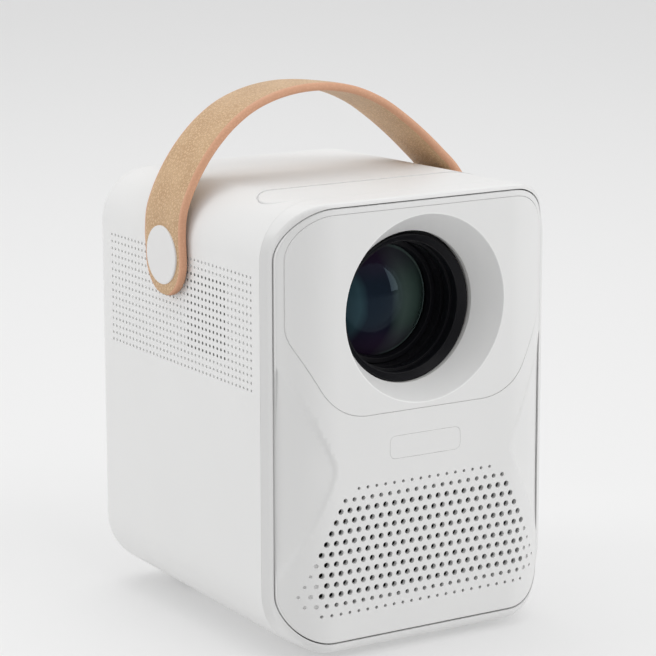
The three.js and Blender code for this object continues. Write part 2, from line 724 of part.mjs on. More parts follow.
function speakerFrame() {
  const at = (d) => FRONT + d;
  return turnedY([[25, at(3.5)], [27.4, at(3.5)], [27.4, at(6)], [25.8, at(6)], [18, at(18)], [11.2, at(18)],
    [11.2, at(16)], [16.8, at(16)], [23.5, at(5.6)], [25, at(5.6)]], 0, SOUND_Z, 24);
}

function speakerCone() {
  const at = (d) => FRONT + d;
  return turnedOnAxis([[0, at(9)], [5, at(10)], [8, at(13)], [20, at(6)], [24.6, at(5)], [24.6, at(5.35)],
    [23.1, at(5.6)], [20, at(6.6)], [8.5, at(14)], [8.5, at(15.8)], [0, at(15.8)]], 0, SOUND_Z);
}

function speakerMagnet() {
  return barY(14, FRONT + 18.3, FRONT + 27, 0, SOUND_Z, 20);
}

// ---- Electronics --------------------------------------------------------------------

const BOARD_Y = 54;

function mainBoard() {
  const plate = box(-38, 38, BOARD_Y - 4.8, BOARD_Y - 3.2, 66, 138);
  const chips = [
    box(-14, 4, BOARD_Y - 3.3, BOARD_Y - 1, 112, 130),
    box(-32, -22, BOARD_Y - 3.3, BOARD_Y - 1.6, 100, 118)];
  return shaped(plate, { more: chips });
}

function powerBoard() {
  const plate = box(42.2, 43.8, -34, 36, 18, 84);
  const parts = [
    box(36.6, 42.4, -20, 2, 40, 62),
    box(34, 42.4, 10, 22, 28, 42),
    barX(6, 36.6, 42.4, 12, 64, 12)];
  return shaped(plate, { more: parts });
}

// An open metal shell with a tongue: w is its width and h its height.
function socket(x, w, h, z) {
  const y0 = BOARD_Y - 2.9;
  const shell = box(x - w / 2, x + w / 2, y0, REAR - 0.4, z - h / 2, z + h / 2);
  const mouth = box(x - w / 2 + 0.6, x + w / 2 - 0.6, y0 + 1, 70, z - h / 2 + 0.6, z + h / 2 - 0.6);
  const tongue = box(x - w / 2 + 2.4, x + w / 2 - 2.4, y0 + 0.5, REAR - 2, z + h / 2 - 1.9, z + h / 2 - 0.5);
  return shaped(shell, { less: [mouth], more: [tongue] });
}

function roundSocket(x, r, bore, pin, z) {
  const y0 = BOARD_Y - 2.9;
  const can = barY(r, y0, REAR - 0.3, x, z, 14);
  const less = [barY(bore, y0 + 1, 70, x, z, 14)];
  const more = pin ? [barY(pin, y0 + 0.5, REAR - 2.5, x, z, 8)] : [];
  return shaped(shaped(can, { less }), { more });
}

function irReceiver() {
  const y0 = BOARD_Y - 2.9;
  return box(-4.1, 4.1, y0, REAR - 0.2, 100.9, 107.1);
}

function powerButton() {
  const points = [[0, REAR + 0], [4.4, REAR + 0], [5.0, REAR - 0.6], [5.0, REAR - 2.7], [6.4, REAR - 2.7],
    [6.4, REAR - 5], [2, REAR - 5], [2, REAR - 6.6], [0, REAR - 6.6]];
  return turnedOnAxis(points, 30, 104, 16);
}

// ---- Assembly -----------------------------------------------------------------------

add("main_shell", mainShell(), white);
add("front_frame", frontFrame(), white);
add("front_panel", frontPanel(), white);
add("lens_panel", lensPanel(), white);
add("blank_badge", badge(), innerWhite);
add("rear_cover", rearCover(), white);
add("touch_strip", touchStrip(), innerWhite);
add("touch_board", touchBoard(), board);
screwPlaces().forEach(([x, z], i) => add(`rear_screw_${i + 1}`, screw(x, z), steel));
footPlaces().forEach(([x, y], i) => add(`rubber_foot_${i + 1}`, foot(x, y), rubber));
add("tripod_insert", tripodInsert(), brass);

add("leather_strap", leatherStrap(), leather);
for (const [side, label] of [[-1, "left"], [1, "right"]]) {
  add(`strap_pivot_${label}`, strapPivot(side), steel);
  add(`pivot_bush_${label}`, pivotBush(side), innerWhite);
  add(`pivot_washer_${label}`, pivotWasher(side), steel);
}

add("lens_hood", lensHood(), black);
add("lens_guide_tube", guideTube(), black);
add("lens_barrel", lensBarrel(), black);
add("front_retaining_ring", frontRetainer(), black);
add("front_lens", frontLens(), glassTint);
add("rear_lens", rearLens(), glassTint);
add("focus_motor", focusMotor(), steel);
add("focus_lead_screw", focusScrew(), steel);

add("optics_housing", opticsHousing(), black);
add("folding_mirror", foldingMirror(), alloy);
add("fresnel_upper", opticPlate(74, 1.5, 0.1), clear);
add("lcd_panel", opticPlate(65, 2.5, 0.1), black);
add("fresnel_lower", opticPlate(56, 1.5, 0.1), clear);
add("condenser_lens", condenser(), clear);
add("lamp_hood", lampHood(), black);
add("led_board", ledBoard(), copper);
add("heat_sink", heatSink(), alloy);
add("fan_frame", fanFrame(), black);
add("fan_rotor", fanRotor(), black);

add("speaker_basket", speakerFrame(), steel);
add("speaker_cone", speakerCone(), black);
add("speaker_magnet", speakerMagnet(), steel);

add("main_board", mainBoard(), board);
add("power_board", powerBoard(), board);
add("hdmi_socket", socket(-26.5, 15.6, 6, 80), steel);
add("usb_socket", socket(-3.5, 13.6, 6, 80), steel);
add("av_socket", roundSocket(14, 3.1, 1.8, 0, 80), black);
add("dc_socket", roundSocket(32, 5.1, 3.6, 1.0, 80), black);
add("ir_receiver", irReceiver(), black);
add("power_button", powerButton(), innerWhite);

export default part;
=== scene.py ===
"""Looks of the home projector: fine-detailed case, lens and leather strap on the CAD frame.

Shapes are given in millimetres, in the frame's own axes, and Skin.as_object turns them into metres.
Materials, lights and the camera are given in metres.
"""
import math

import bpy
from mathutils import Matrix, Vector
from mathutils.geometry import delaunay_2d_cdt


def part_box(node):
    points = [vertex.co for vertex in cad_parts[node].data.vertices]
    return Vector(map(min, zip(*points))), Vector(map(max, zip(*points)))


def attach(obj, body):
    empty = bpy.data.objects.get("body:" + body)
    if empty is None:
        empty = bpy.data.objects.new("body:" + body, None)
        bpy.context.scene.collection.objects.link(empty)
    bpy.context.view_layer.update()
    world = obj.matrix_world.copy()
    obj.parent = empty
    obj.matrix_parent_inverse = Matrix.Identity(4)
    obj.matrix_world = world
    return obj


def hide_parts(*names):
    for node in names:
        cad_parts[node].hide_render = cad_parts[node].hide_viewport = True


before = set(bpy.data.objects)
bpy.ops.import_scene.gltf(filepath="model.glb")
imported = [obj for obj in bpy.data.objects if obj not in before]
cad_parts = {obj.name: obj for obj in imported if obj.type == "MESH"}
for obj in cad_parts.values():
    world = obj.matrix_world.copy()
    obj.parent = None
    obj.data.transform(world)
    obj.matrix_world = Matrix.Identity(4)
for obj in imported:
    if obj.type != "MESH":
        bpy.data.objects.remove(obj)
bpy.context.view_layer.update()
MM = 0.001

# ---- Driving dimensions, the same as the CAD's --------------------------------------

HALF_WIDTH = 56.0
FRONT = -62.5
REAR = 62.5
DEPTH = REAR - FRONT
BOTTOM = 2.3
TOP = 153.1
DRAFT = 0.037
DRAFT_CENTRE = 77.8
CORNER_TOP = 19.0
CORNER_BOTTOM = 21.5
CREASE = -50.0
REAR_FILLET = 6.0

FLAT_HALF = 33.9
BEND = 23.5
SEAM_HALF = 52.8
SEAM_TOP = 151.5
SEAM_BOTTOM = 6.5
SEAM_CORNER = 17.4

LENS_Z = 113.3
RECESS_Z = 115.3
RECESS_R = 31.15
THROAT_Z = 113.86
THROAT_R = 25.6
THROAT_DEPTH = 11.05

STRAP_Y = 8.3
STRAP_Z = 128.0
STRAP_LEAN = math.radians(3)
STRAP_HALF = 13.0
STRAP_TIP = 14.0
STRAP_THICK = 3.3
CAP_R = 10.0
CAP_SEAT = 58.5
CAP_FACE = 60.1

BADGE_HALF = 14.1
BADGE_LOW = 65.9
BADGE_HIGH = 73.95
BADGE_CORNER = 2.3

# ---- Finer dimensions of the visible surfaces ---------------------------------------

# Seams are 0.42 mm wide here and 0.3 mm in the CAD.
GAP = 0.42
WAIST_STEP = 0.45
PANEL_EDGE = 0.7
GRILLE_X = 1.74
GRILLE_Z = 3.48
GRILLE_MIDDLE = 33.76

FIELD_SIDE = 50.2
FIELD_FOOT = 34.2
FIELD_TOP = 149.3
FIELD_WAIST = 109.9
FIELD_BOTTOM = 82.1
MOUTH_EDGE = 0.45
MOUTH_DROP = MOUTH_EDGE * 0.8

STRIP_HALF = 46.0
STRIP_NEAR = -48.3
STRIP_FAR = -22.0
STRIP_SINK = 0.45
STRIP_FACE = 0.12

DOT_Y = -44.4
DOT_Z = 108.47
DOT_STEP_Y = 2.443
DOT_STEP_Z = 2.492

BUSH_R = 5.0

SOCKET_Z = 80
BUTTON_X = 30
BUTTON_Z = 104
SCREW_R = 3.3
SCREWS = ((-41, 22), (41, 22), (-41, 128), (41, 128))
FEET = ((-28, -40), (28, -40), (-28, 42), (28, 42))

CORNER_STEPS = 32
FORWARD = (0, -1, 0)
BACKWARD = (0, 1, 0)


# ---- Materials ----------------------------------------------------------------------

def new_material(name, **sockets):
    """A Principled material with the given values set on its own sockets."""
    mat = bpy.data.materials.new(name)
    mat.use_nodes = True
    shader = mat.node_tree.nodes["Principled BSDF"]
    for key, value in sockets.items():
        shader.inputs[key.replace("_", " ")].default_value = value
    return mat, mat.node_tree, shader


def object_coords(tree):
    """The place of a point in its object's own space."""
    return tree.nodes.new("ShaderNodeTexCoord").outputs["Object"]


def noise(tree, scale, detail, stretch=(1, 1, 1)):
    """Noise in object space; stretch scales each axis."""
    mapping = tree.nodes.new("ShaderNodeMapping")
    mapping.inputs["Scale"].default_value = stretch
    texture = tree.nodes.new("ShaderNodeTexNoise")
    texture.inputs["Scale"].default_value = scale
    texture.inputs["Detail"].default_value = detail
    tree.links.new(object_coords(tree), mapping.inputs["Vector"])
    tree.links.new(mapping.outputs["Vector"], texture.inputs["Vector"])
    return texture.outputs["Fac"]


def spread(tree, value, low, high):
    """Maps a 0..1 value to low..high."""
    node = tree.nodes.new("ShaderNodeMapRange")
    node.inputs["To Min"].default_value = low
    node.inputs["To Max"].default_value = high
    tree.links.new(value, node.inputs["Value"])
    return node.outputs["Result"]


def smooth_range(tree, value, low, high):
    """0 below low, 1 above high, with a soft step between."""
    node = tree.nodes.new("ShaderNodeMapRange")
    node.interpolation_type = "SMOOTHSTEP"
    node.inputs["From Min"].default_value = low
    node.inputs["From Max"].default_value = high
    tree.links.new(value, node.inputs["Value"])
    return node.outputs["Result"]


def math_node(tree, operation, *values):
    """One step of arithmetic on numbers and sockets."""
    node = tree.nodes.new("ShaderNodeMath")
    node.operation = operation
    for socket, value in zip(node.inputs, values):
        if isinstance(value, (int, float)):
            socket.default_value = value
        else:
            tree.links.new(value, socket)
    return node.outputs["Value"]


def blend_colour(tree, factor, low, high):
    """Mixes two colours, each a value or a socket, by a 0..1 socket."""
    node = tree.nodes.new("ShaderNodeMix")
    node.data_type = "RGBA"
    tree.links.new(factor, node.inputs["Factor"])
    for key, colour in (("A", low), ("B", high)):
        if isinstance(colour, tuple):
            node.inputs[key].default_value = (*colour, 1)
        else:
            tree.links.new(colour, node.inputs[key])
    return node.outputs["Result"]


def bump(tree, shader, height, distance):
    """Adds a bump of the given depth in metres."""
    node = tree.nodes.new("ShaderNodeBump")
    node.inputs["Distance"].default_value = distance
    node.inputs["Strength"].default_value = 1.0
    tree.links.new(height, node.inputs["Height"])
    tree.links.new(node.outputs["Normal"], shader.inputs["Normal"])


def darker(colour, share):
    """A colour scaled down to a share of its brightness."""
    return tuple(c * share for c in colour)


def moulded(name, colour, roughness, grain=2500, depth=4e-6, **sockets):
    """Moulded plastic: fine spark texture, slight differences in colour and gloss."""
    mat, tree, shader = new_material(name, Roughness=roughness, **sockets)
    tone = blend_colour(tree, noise(tree, 25, 2), darker(colour, 0.96), colour)
    tree.links.new(tone, shader.inputs["Base Color"])
    gloss = spread(tree, noise(tree, 60, 2), roughness * 0.92, min(1, roughness * 1.1))
    tree.links.new(gloss, shader.inputs["Roughness"])
    bump(tree, shader, noise(tree, grain, 2), depth)
    return mat


def turned_metal(name, colour, roughness, stretch=(1, 1, 1)):
    """Metal with fine machining marks; a stretch draws them out into lines."""
    mat, tree, shader = new_material(name, Metallic=1.0, Roughness=roughness)
    lines = noise(tree, 400, 4, stretch)
    tone = blend_colour(tree, lines, darker(colour, 0.86), colour)
    tree.links.new(tone, shader.inputs["Base Color"])
    tree.links.new(spread(tree, lines, roughness * 0.8, roughness * 1.25), shader.inputs["Roughness"])
    bump(tree, shader, lines, 6e-6)
    return mat


def leather_face(name, colour, crease, pebble=0.00011):
    """Tanned leather: pebbled grain with darker creases between the pebbles, and patchy colour."""
    mat, tree, shader = new_material(name, Roughness=0.5, Sheen_Weight=0.05, Specular_IOR_Level=0.45)
    place = object_coords(tree)
    wander = tree.nodes.new("ShaderNodeTexNoise")
    wander.inputs["Scale"].default_value = 500
    tree.links.new(place, wander.inputs["Vector"])
    warp = tree.nodes.new("ShaderNodeVectorMath")
    warp.operation = "MULTIPLY_ADD"
    warp.inputs[1].default_value = (0.0012, 0.0012, 0.0012)
    tree.links.new(wander.outputs["Color"], warp.inputs[0])
    tree.links.new(place, warp.inputs[2])
    cells = tree.nodes.new("ShaderNodeTexVoronoi")
    cells.feature = "DISTANCE_TO_EDGE"
    cells.inputs["Scale"].default_value = 840
    tree.links.new(warp.outputs["Vector"], cells.inputs["Vector"])
    dome = smooth_range(tree, cells.outputs["Distance"], 0.0, 0.32)
    low = blend_colour(tree, noise(tree, 120, 4), crease, darker(colour, 0.9))
    high = blend_colour(tree, noise(tree, 90, 3), darker(colour, 0.9), colour)
    tree.links.new(blend_colour(tree, dome, low, high), shader.inputs["Base Color"])
    tree.links.new(spread(tree, noise(tree, 900, 3), 0.42, 0.6), shader.inputs["Roughness"])
    bump(tree, shader, dome, pebble)
    return mat


def clear_glass(name, tint):
    """Clear glass with a faint haze in its tint."""
    mat, tree, shader = new_material(name, Roughness=0.015, IOR=1.5, Transmission_Weight=1.0)
    haze = blend_colour(tree, noise(tree, 90, 2), darker(tint, 0.94), tint)
    tree.links.new(haze, shader.inputs["Base Color"])
    return mat


def reflection_painted_glass(name):
    """Deep, dark front lens with painted reflections: upright bands of navy, teal and grey-green."""
    mat, tree, shader = new_material(name, Roughness=0.03, IOR=1.45, Specular_Tint=(0.22, 0.34, 0.42, 1))
    split = tree.nodes.new("ShaderNodeSeparateXYZ")
    tree.links.new(object_coords(tree), split.inputs["Vector"])
    height = math_node(tree, "SUBTRACT", split.outputs["Z"], LENS_Z * MM)
    bend = math_node(tree, "MULTIPLY", math_node(tree, "MULTIPLY", height, height), 14.0)
    across = math_node(tree, "ADD", split.outputs["X"], bend)
    wavy = math_node(tree, "MULTIPLY_ADD", noise(tree, 60, 2), 0.004, across)
    # Upright bands of painted reflection, placed across the lens by position.
    place = tree.nodes.new("ShaderNodeMapRange")
    place.inputs["From Min"].default_value = -0.018
    place.inputs["From Max"].default_value = 0.022
    tree.links.new(wavy, place.inputs["Value"])
    reflection_bands = tree.nodes.new("ShaderNodeValToRGB")
    stops = [(0.0, (0.010, 0.016, 0.03)), (0.12, (0.022, 0.05, 0.065)), (0.24, (0.026, 0.058, 0.072)),
             (0.31, (0.006, 0.010, 0.020)), (0.54, (0.004, 0.007, 0.015)), (0.60, (0.024, 0.038, 0.038)),
             (0.70, (0.052, 0.078, 0.070)), (0.86, (0.046, 0.078, 0.066)), (1.0, (0.014, 0.030, 0.028))]
    while len(reflection_bands.color_ramp.elements) < len(stops):
        reflection_bands.color_ramp.elements.new(0.5)
    for element, (at, colour) in zip(reflection_bands.color_ramp.elements, stops):
        element.position = at
        element.color = (*colour, 1)
    tree.links.new(place.outputs["Result"], reflection_bands.inputs["Fac"])
    # The painted reflection turns violet towards the top and the bottom of the lens.
    violet_reflection = smooth_range(tree, math_node(tree, "ABSOLUTE", height), 0.006, 0.017)
    amount = math_node(tree, "MULTIPLY", violet_reflection, 0.45)
    tone = blend_colour(tree, amount, reflection_bands.outputs["Color"], (0.06, 0.03, 0.07))
    # A painted highlight: a thin pale arc just inside the rim, on the side of positive x.
    height_squared = math_node(tree, "MULTIPLY", height, height)
    side_squared = math_node(tree, "POWER", split.outputs["X"], 2.0)
    radius = math_node(tree, "SQRT", math_node(tree, "ADD", height_squared, side_squared))
    edge = smooth_range(tree, radius, 0.0178, 0.0187)
    half = smooth_range(tree, split.outputs["X"], -0.004, 0.012)
    tone = blend_colour(tree, math_node(tree, "MULTIPLY", edge, half), tone, (0.15, 0.21, 0.20))
    tree.links.new(tone, shader.inputs["Base Color"])
    return mat


def printed_board(name):
    """Circuit board: solder mask with fine tracks."""
    mat, tree, shader = new_material(name, Roughness=0.4)
    tracks = noise(tree, 350, 0, (1, 1, 6))
    tone = blend_colour(tree, tracks, (0.01, 0.09, 0.04), (0.03, 0.2, 0.1))
    tree.links.new(tone, shader.inputs["Base Color"])
    bump(tree, shader, tracks, 2e-5)
    return mat


WHITE = moulded("white_case", (0.80, 0.80, 0.795), 0.42)
PANEL = moulded("white_panel", (0.80, 0.80, 0.795), 0.40)
CONE = moulded("white_cone", (0.87, 0.87, 0.865), 0.38)
INNER = moulded("off_white", (0.72, 0.715, 0.70), 0.5)
HOLE = moulded("hole_shade", (0.46, 0.46, 0.45), 0.8)
BLACK = moulded("black_plastic", (0.008, 0.008, 0.010), 0.5, 1800, 8e-6, Specular_IOR_Level=0.2)
HOOD = moulded("black_hood", (0.006, 0.006, 0.008), 0.4, 1800, 5e-6, Specular_IOR_Level=0.17)
RUBBER = moulded("rubber", (0.03, 0.03, 0.03), 0.85, 900, 2e-5)
CAP = moulded("brushed_cap", (0.78, 0.775, 0.77), 0.34, 700, 6e-6)
STEEL = turned_metal("steel", (0.62, 0.62, 0.63), 0.34)
ALLOY = turned_metal("alloy", (0.66, 0.67, 0.68), 0.42, (1, 8, 1))
BRASS = turned_metal("brass", (0.75, 0.58, 0.28), 0.32)
COPPER = turned_metal("copper", (0.80, 0.45, 0.28), 0.36)
MIRROR = turned_metal("mirror_face", (0.9, 0.9, 0.92), 0.03)
BOARD = printed_board("circuit_board")
LEATHER = leather_face("tan_leather", (0.71, 0.485, 0.28), (0.38, 0.205, 0.088))
EDGE = leather_face("painted_edge", (0.71, 0.385, 0.235), (0.62, 0.32, 0.19), 0.00002)
GLASS = reflection_painted_glass("front_glass")
CLEAR = clear_glass("clear_glass", (0.97, 0.97, 0.97))


# ---- Mesh helpers -------------------------------------------------------------------

class Skin:
    """A mesh gathered patch by patch, each point with its own normal."""

    def __init__(self):
        self.points = []
        self.normals = []
        self.faces = []
        self.slots = []

    def add(self, points, normals, faces, slot=0):
        """Adds faces, each turned so that it faces along its corners' normals."""
        base = len(self.points)
        self.points += [tuple(p) for p in points]
        self.normals += [tuple(n) for n in normals]
        for face in faces:
            corners = [base + i for i in face]
            a, b, c = (Vector(self.points[i]) for i in corners[:3])
            facing = (b - a).cross(c - a)
            if len(corners) == 4:
                d = Vector(self.points[corners[3]])
                facing += (c - a).cross(d - a)
            if facing.length < 1e-7:
                continue
            mean = sum((Vector(self.normals[i]) for i in corners), Vector())
            self.faces.append(corners if facing.dot(mean) > 0 else corners[::-1])
            self.slots.append(slot)

    def rows(self, rows, slot=0, closed=True):
        """Joins rows of (point, normal) pairs with four-sided faces."""
        width = len(rows[0])
        pairs = [pair for row in rows for pair in row]
        faces = []
        for j in range(len(rows) - 1):
            for i in range(width if closed else width - 1):
                k = (i + 1) % width
                faces.append((j * width + i, j * width + k, (j + 1) * width + k, (j + 1) * width + i))
        self.add([p for p, _ in pairs], [n for _, n in pairs], faces, slot)

    def cap(self, ring, normal, slot=0):
        """Closes a ring of points with flat triangles."""
        faces = [(0, k, k + 1) for k in range(1, len(ring) - 1)]
        self.add(ring, [normal] * len(ring), faces, slot)

    def as_object(self, name, materials):
        """A Blender object of the mesh, in metres, linked into the scene."""
        mesh = bpy.data.meshes.new(name)
        mesh.from_pydata([tuple(c * MM for c in p) for p in self.points], [], self.faces)
        for mat in materials:
            mesh.materials.append(mat)
        mesh.polygons.foreach_set("material_index", self.slots)
        mesh.shade_smooth()
        obj = bpy.data.objects.new(name, mesh)
        bpy.context.scene.collection.objects.link(obj)
        return obj

    def build(self, node, body, materials):
        """Makes the fine piece that stands for a CAD node, puts it on its body and hides the CAD node."""
        obj = self.as_object(f"{node}_skin", materials)
        obj.data.validate(clean_customdata=False)
        obj.data.normals_split_custom_set_from_vertices([Vector(n).normalized() for n in self.normals])
        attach(obj, body)
        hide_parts(node)


def quarter(steps):
    """Sine and cosine of the angles from 0 to 90 degrees, in equal steps."""
    angles = [math.pi / 2 * k / steps for k in range(steps + 1)]
    return [(math.sin(a), math.cos(a)) for a in angles]


def around(count):
    """Cosine and sine of the angles of a full turn, in equal steps."""
    angles = [2 * math.pi * k / count for k in range(count)]
    return [(math.cos(a), math.sin(a)) for a in angles]


def rounded(points, steps=8):
    """Rounds the corners [a, b, radius] of a counter-clockwise loop.

    Gives (a, b, na, nb) with outward normals; a sharp corner is given twice.
    """
    out = []
    count = len(points)
    for i, (x, y, r) in enumerate(points):
        here = Vector((x, y))
        back = (Vector(points[i - 1][:2]) - here).normalized()
        on = (Vector(points[(i + 1) % count][:2]) - here).normalized()
        before = Vector((-back.y, back.x))
        after = Vector((on.y, -on.x))
        if not r:
            out.append((x, y, *before))
            out.append((x, y, *after))
            continue
        half = back.angle(on) / 2
        centre = here + (back + on).normalized() * (r / math.sin(half))
        bend = before.x * after.y - before.y * after.x
        turn = math.asin(max(-1, min(1, bend)))
        if before.dot(after) < 0:
            turn = math.copysign(math.pi - abs(turn), turn)
        sign = 1 if turn >= 0 else -1
        for k in range(steps + 1):
            a = turn * k / steps
            n = Vector((before.x * math.cos(a) - before.y * math.sin(a),
                        before.x * math.sin(a) + before.y * math.cos(a)))
            p = centre + n * r * sign
            out.append((p.x, p.y, n.x, n.y))
    return out


def evenly(loop, spacing):
    """Adds points along the straight stretches of a loop, about a spacing apart."""
    out = []
    for i, here in enumerate(loop):
        after = loop[(i + 1) % len(loop)]
        gap = math.hypot(after[0] - here[0], after[1] - here[1])
        parts = max(1, round(gap / spacing)) if here[2:] == after[2:] or gap > 4 * spacing else 1
        for k in range(parts):
            t = k / parts
            out.append(tuple(h + (a - h) * t for h, a in zip(here, after)))
    return out


def circle(x, z, r, count):
    """A counter-clockwise ring with outward normals."""
    return [(x + r * c, z + r * s, c, s) for c, s in around(count)]


def rectangle(x0, x1, z0, z1, r):
    """Corners [a, b, radius] of a rounded rectangle."""
    return [[x0, z0, r], [x1, z0, r], [x1, z1, r], [x0, z1, r]]


def on_axis(axis, along, first, second):
    """Puts one value on the given axis and the other two on the remaining ones, in order."""
    if axis == "X":
        return along, first, second
    if axis == "Y":
        return first, along, second
    return first, second, along


def turned(skin, profile, place, axis, sides):
    """Turns a closed counter-clockwise profile of [radius, along, corner radius] about an axis."""
    loop = rounded(profile, 5)
    loop.append(loop[0])
    rows = []
    for radius, along, nr, na in loop:
        row = []
        for c, s in around(sides):
            point = on_axis(axis, along, radius * c, radius * s)
            normal = on_axis(axis, na, nr * c, nr * s)
            row.append((tuple(p + q for p, q in zip(point, place)), normal))
        rows.append(row)
    skin.rows(rows)


def sheet(skin, outline, holes, extra, surface, lines=()):
    """Fills an outline, less its holes, with triangles that follow a surface.

    surface(a, b) gives the (point, normal) in space of a point of the flat layout.
    """
    coords, labels, edges = [], [], []

    def ring(loop, label, closed=True):
        base = len(coords)
        count = len(loop)
        coords.extend(Vector((p[0], p[1])) for p in loop)
        labels.extend([label] * count)
        for k in range(count if closed else count - 1):
            edges.append((base + k, base + (k + 1) % count))

    ring(outline, -1)
    for number, hole in enumerate(holes, 1):
        ring(hole, number)
    for line in lines:
        ring(line, 0, closed=False)
    coords.extend(Vector(p) for p in extra)
    labels.extend([0] * len(extra))
    verts, _, tris, origin, _, _ = delaunay_2d_cdt(coords, edges, [], 0, 1e-6)
    marks = [labels[o[0]] if o else 0 for o in origin]
    faces = []
    for tri in tris:
        kinds = {marks[i] for i in tri}
        if len(kinds) == 1 and 0 not in kinds:
            # All three corners are on one loop: it fills a hole, or it may lie past the outline.
            middle = sum((verts[i] for i in tri), Vector((0, 0))) / 3
            if kinds.pop() > 0 or not inside(outline, middle.x, middle.y):
                continue
        faces.append(tuple(tri))
    pairs = [surface(v.x, v.y) for v in verts]
    skin.add([p for p, _ in pairs], [n for _, n in pairs], faces)


def inside(loop, a, b):
    """Whether a flat point lies inside a closed loop."""
    hit = False
    for p, q in zip(loop, loop[1:] + loop[:1]):
        if (p[1] > b) != (q[1] > b):
            if a < p[0] + (q[0] - p[0]) * (b - p[1]) / (q[1] - p[1]):
                hit = not hit
    return hit


def scatter(x0, x1, z0, z1, step_x, step_z, keep):
    """Points of a regular grid that pass a test."""
    out = []
    for i in range(int((x1 - x0) / step_x) + 1):
        for j in range(int((z1 - z0) / step_z) + 1):
            x = x0 + i * step_x
            z = z0 + j * step_z
            if keep(x, z):
                out.append((x, z))
    return out


# ---- Shape of the front -------------------------------------------------------------

def front_depth(x):
    """Depth of the curved front at a distance x from the middle."""
    d = abs(x)
    if d <= FLAT_HALF:
        return FRONT
    if d <= SEAM_HALF:
        return FRONT + BEND - math.sqrt(BEND ** 2 - (d - FLAT_HALF) ** 2)
    edge = front_depth(SEAM_HALF)
    return edge + (d - SEAM_HALF) * (CREASE - edge) / (HALF_WIDTH - SEAM_HALF)


def waist_line(z):
    """Distance from the middle of the crease that narrows to a waist under the lens."""
    return 32.8 + math.hypot((z - 65) / 1.84, 2.3)


def waist_sink(x, z):
    """How far the sides of the waist are sunk: a small step, then a slow fall."""
    past = abs(x) - waist_line(z)
    if past <= 0:
        return 0.0
    return 0.6 * min(past, WAIST_STEP) + 0.8 * (1 - math.exp(-past / 3.0))


def on_front(relief=lambda x, z: 0.0):
    """The curved front as a surface, with a relief(x, z) sunk into it."""
    def depth(x, z):
        return front_depth(x) + relief(x, z)

    def surface(x, z):
        e = 0.03
        dx = (depth(x + e, z) - depth(x - e, z)) / (2 * e)
        dz = (depth(x, z + e) - depth(x, z - e)) / (2 * e)
        return (x, depth(x, z), z), (dx, -1, dz)

    return surface


def rim(skin, inner, outer, surface, radius, depth, steps=3, wall_slot=0):
    """Rounds the edge of a sheet from its border to a wall, and runs the wall inwards.

    inner is the border of the sheet, outer the same loop moved out to the wall. Gives the
    inner end of the wall.
    """
    rows = []
    for sin, cos in quarter(steps):
        row = []
        for (ix, iz, *_), (ox, oz, nx, nz) in zip(inner, outer):
            point, normal = surface(ix, iz)
            place = (ix + (ox - ix) * sin, point[1] + radius * (1 - cos), iz + (oz - iz) * sin)
            row.append((place, Vector(normal).normalized() * cos + Vector((nx, 0, nz)) * sin))
        rows.append(row)
    skin.rows(rows)
    wall = [[(p, (nx, 0, nz)) for (p, _), (_, _, nx, nz) in zip(rows[-1], outer)]]
    wall.append([((x, y + depth, z), n) for (x, y, z), n in wall[0]])
    skin.rows(wall, wall_slot)
    return [p for p, _ in wall[1]]


def pit(skin, ring, surface, depth, share=None):
    """Walls of a hole through a sheet; with a share it is a dimple with a floor of that share."""
    x0 = sum(p[0] for p in ring) / len(ring)
    z0 = sum(p[1] for p in ring) / len(ring)
    top = []
    low = []
    for x, z, nx, nz in ring:
        point, _ = surface(x, z)
        top.append((point, (-nx, 0, -nz)))
        if share is not None:
            x = x0 + (x - x0) * share
            z = z0 + (z - z0) * share
        low.append(((x, point[1] + depth, z), (-nx, 0, -nz)))
    skin.rows([top, low])
    if share is not None:
        skin.cap([p for p, _ in low], FORWARD)


# ---- Front panel --------------------------------------------------------------------

def panel_outline(inset):
    """Outline of the front panel, inset from the middle of its seam."""
    corner = SEAM_CORNER - inset
    half = SEAM_HALF - inset
    loop = rounded(rectangle(-half, half, SEAM_BOTTOM + inset, SEAM_TOP - inset, corner), 32)
    return evenly(loop, 2.4)


def lens_field(inset):
    """Outline of the smooth field round the lens."""
    side = FIELD_SIDE - inset
    top = FIELD_TOP - inset
    bottom = FIELD_BOTTOM + inset
    # Both ends of the slanted sides move by the share that keeps the inset even along them.
    foot = FIELD_FOOT - 0.578 * inset
    waist = FIELD_WAIST + 0.267 * inset
    corner = 14.8 - inset
    loop = rounded([
        [foot, bottom, 20], [side, waist, 15], [side, top, corner],
        [-side, top, corner], [-side, waist, 15], [-foot, bottom, 20],
    ], 24)
    return evenly(loop, 2.4)


def grille():
    """All holes of the front grille: (x, z, radius, through)."""
    open_rows = [(-7, 15, "small"), (-6, 18, "medium"), (-5, 19, "large"), (-4, 20, "large"),
                 (-3, 21, "large"), (-2, 22, "large"), (-1, 23, "large"), (0, 22, "large"),
                 (1, 23, "large"), (2, 22, "large"), (3, 23, "large"), (4, 22, "medium"),
                 (5, 23, "small")]
    blind = [(0, 24, "medium"), (1, 25, "small"), (2, 24, "medium"), (2, 26, "small"),
             (3, 25, "medium"), (3, 27, "small"), (4, 24, "medium"), (4, 26, "small")]
    radius = {"large": 1.0, "medium": 0.785, "small": 0.565}
    holes = []
    for row, reach, size in open_rows:
        for u in range(-reach, reach + 1, 2):
            holes.append((GRILLE_X * u, GRILLE_MIDDLE - GRILLE_Z * row, radius[size], True))
    for row, u, size in blind:
        for side in (-1, 1):
            holes.append((side * GRILLE_X * u, GRILLE_MIDDLE - GRILLE_Z * row, radius[size], False))
    return holes


def badge_outline(inset):
    """Outline of the badge's pocket, inset from its wall."""
    half = BADGE_HALF - inset
    loop = rectangle(-half, half, BADGE_LOW + inset, BADGE_HIGH - inset, BADGE_CORNER - inset)
    return evenly(rounded(loop, 6), 2)


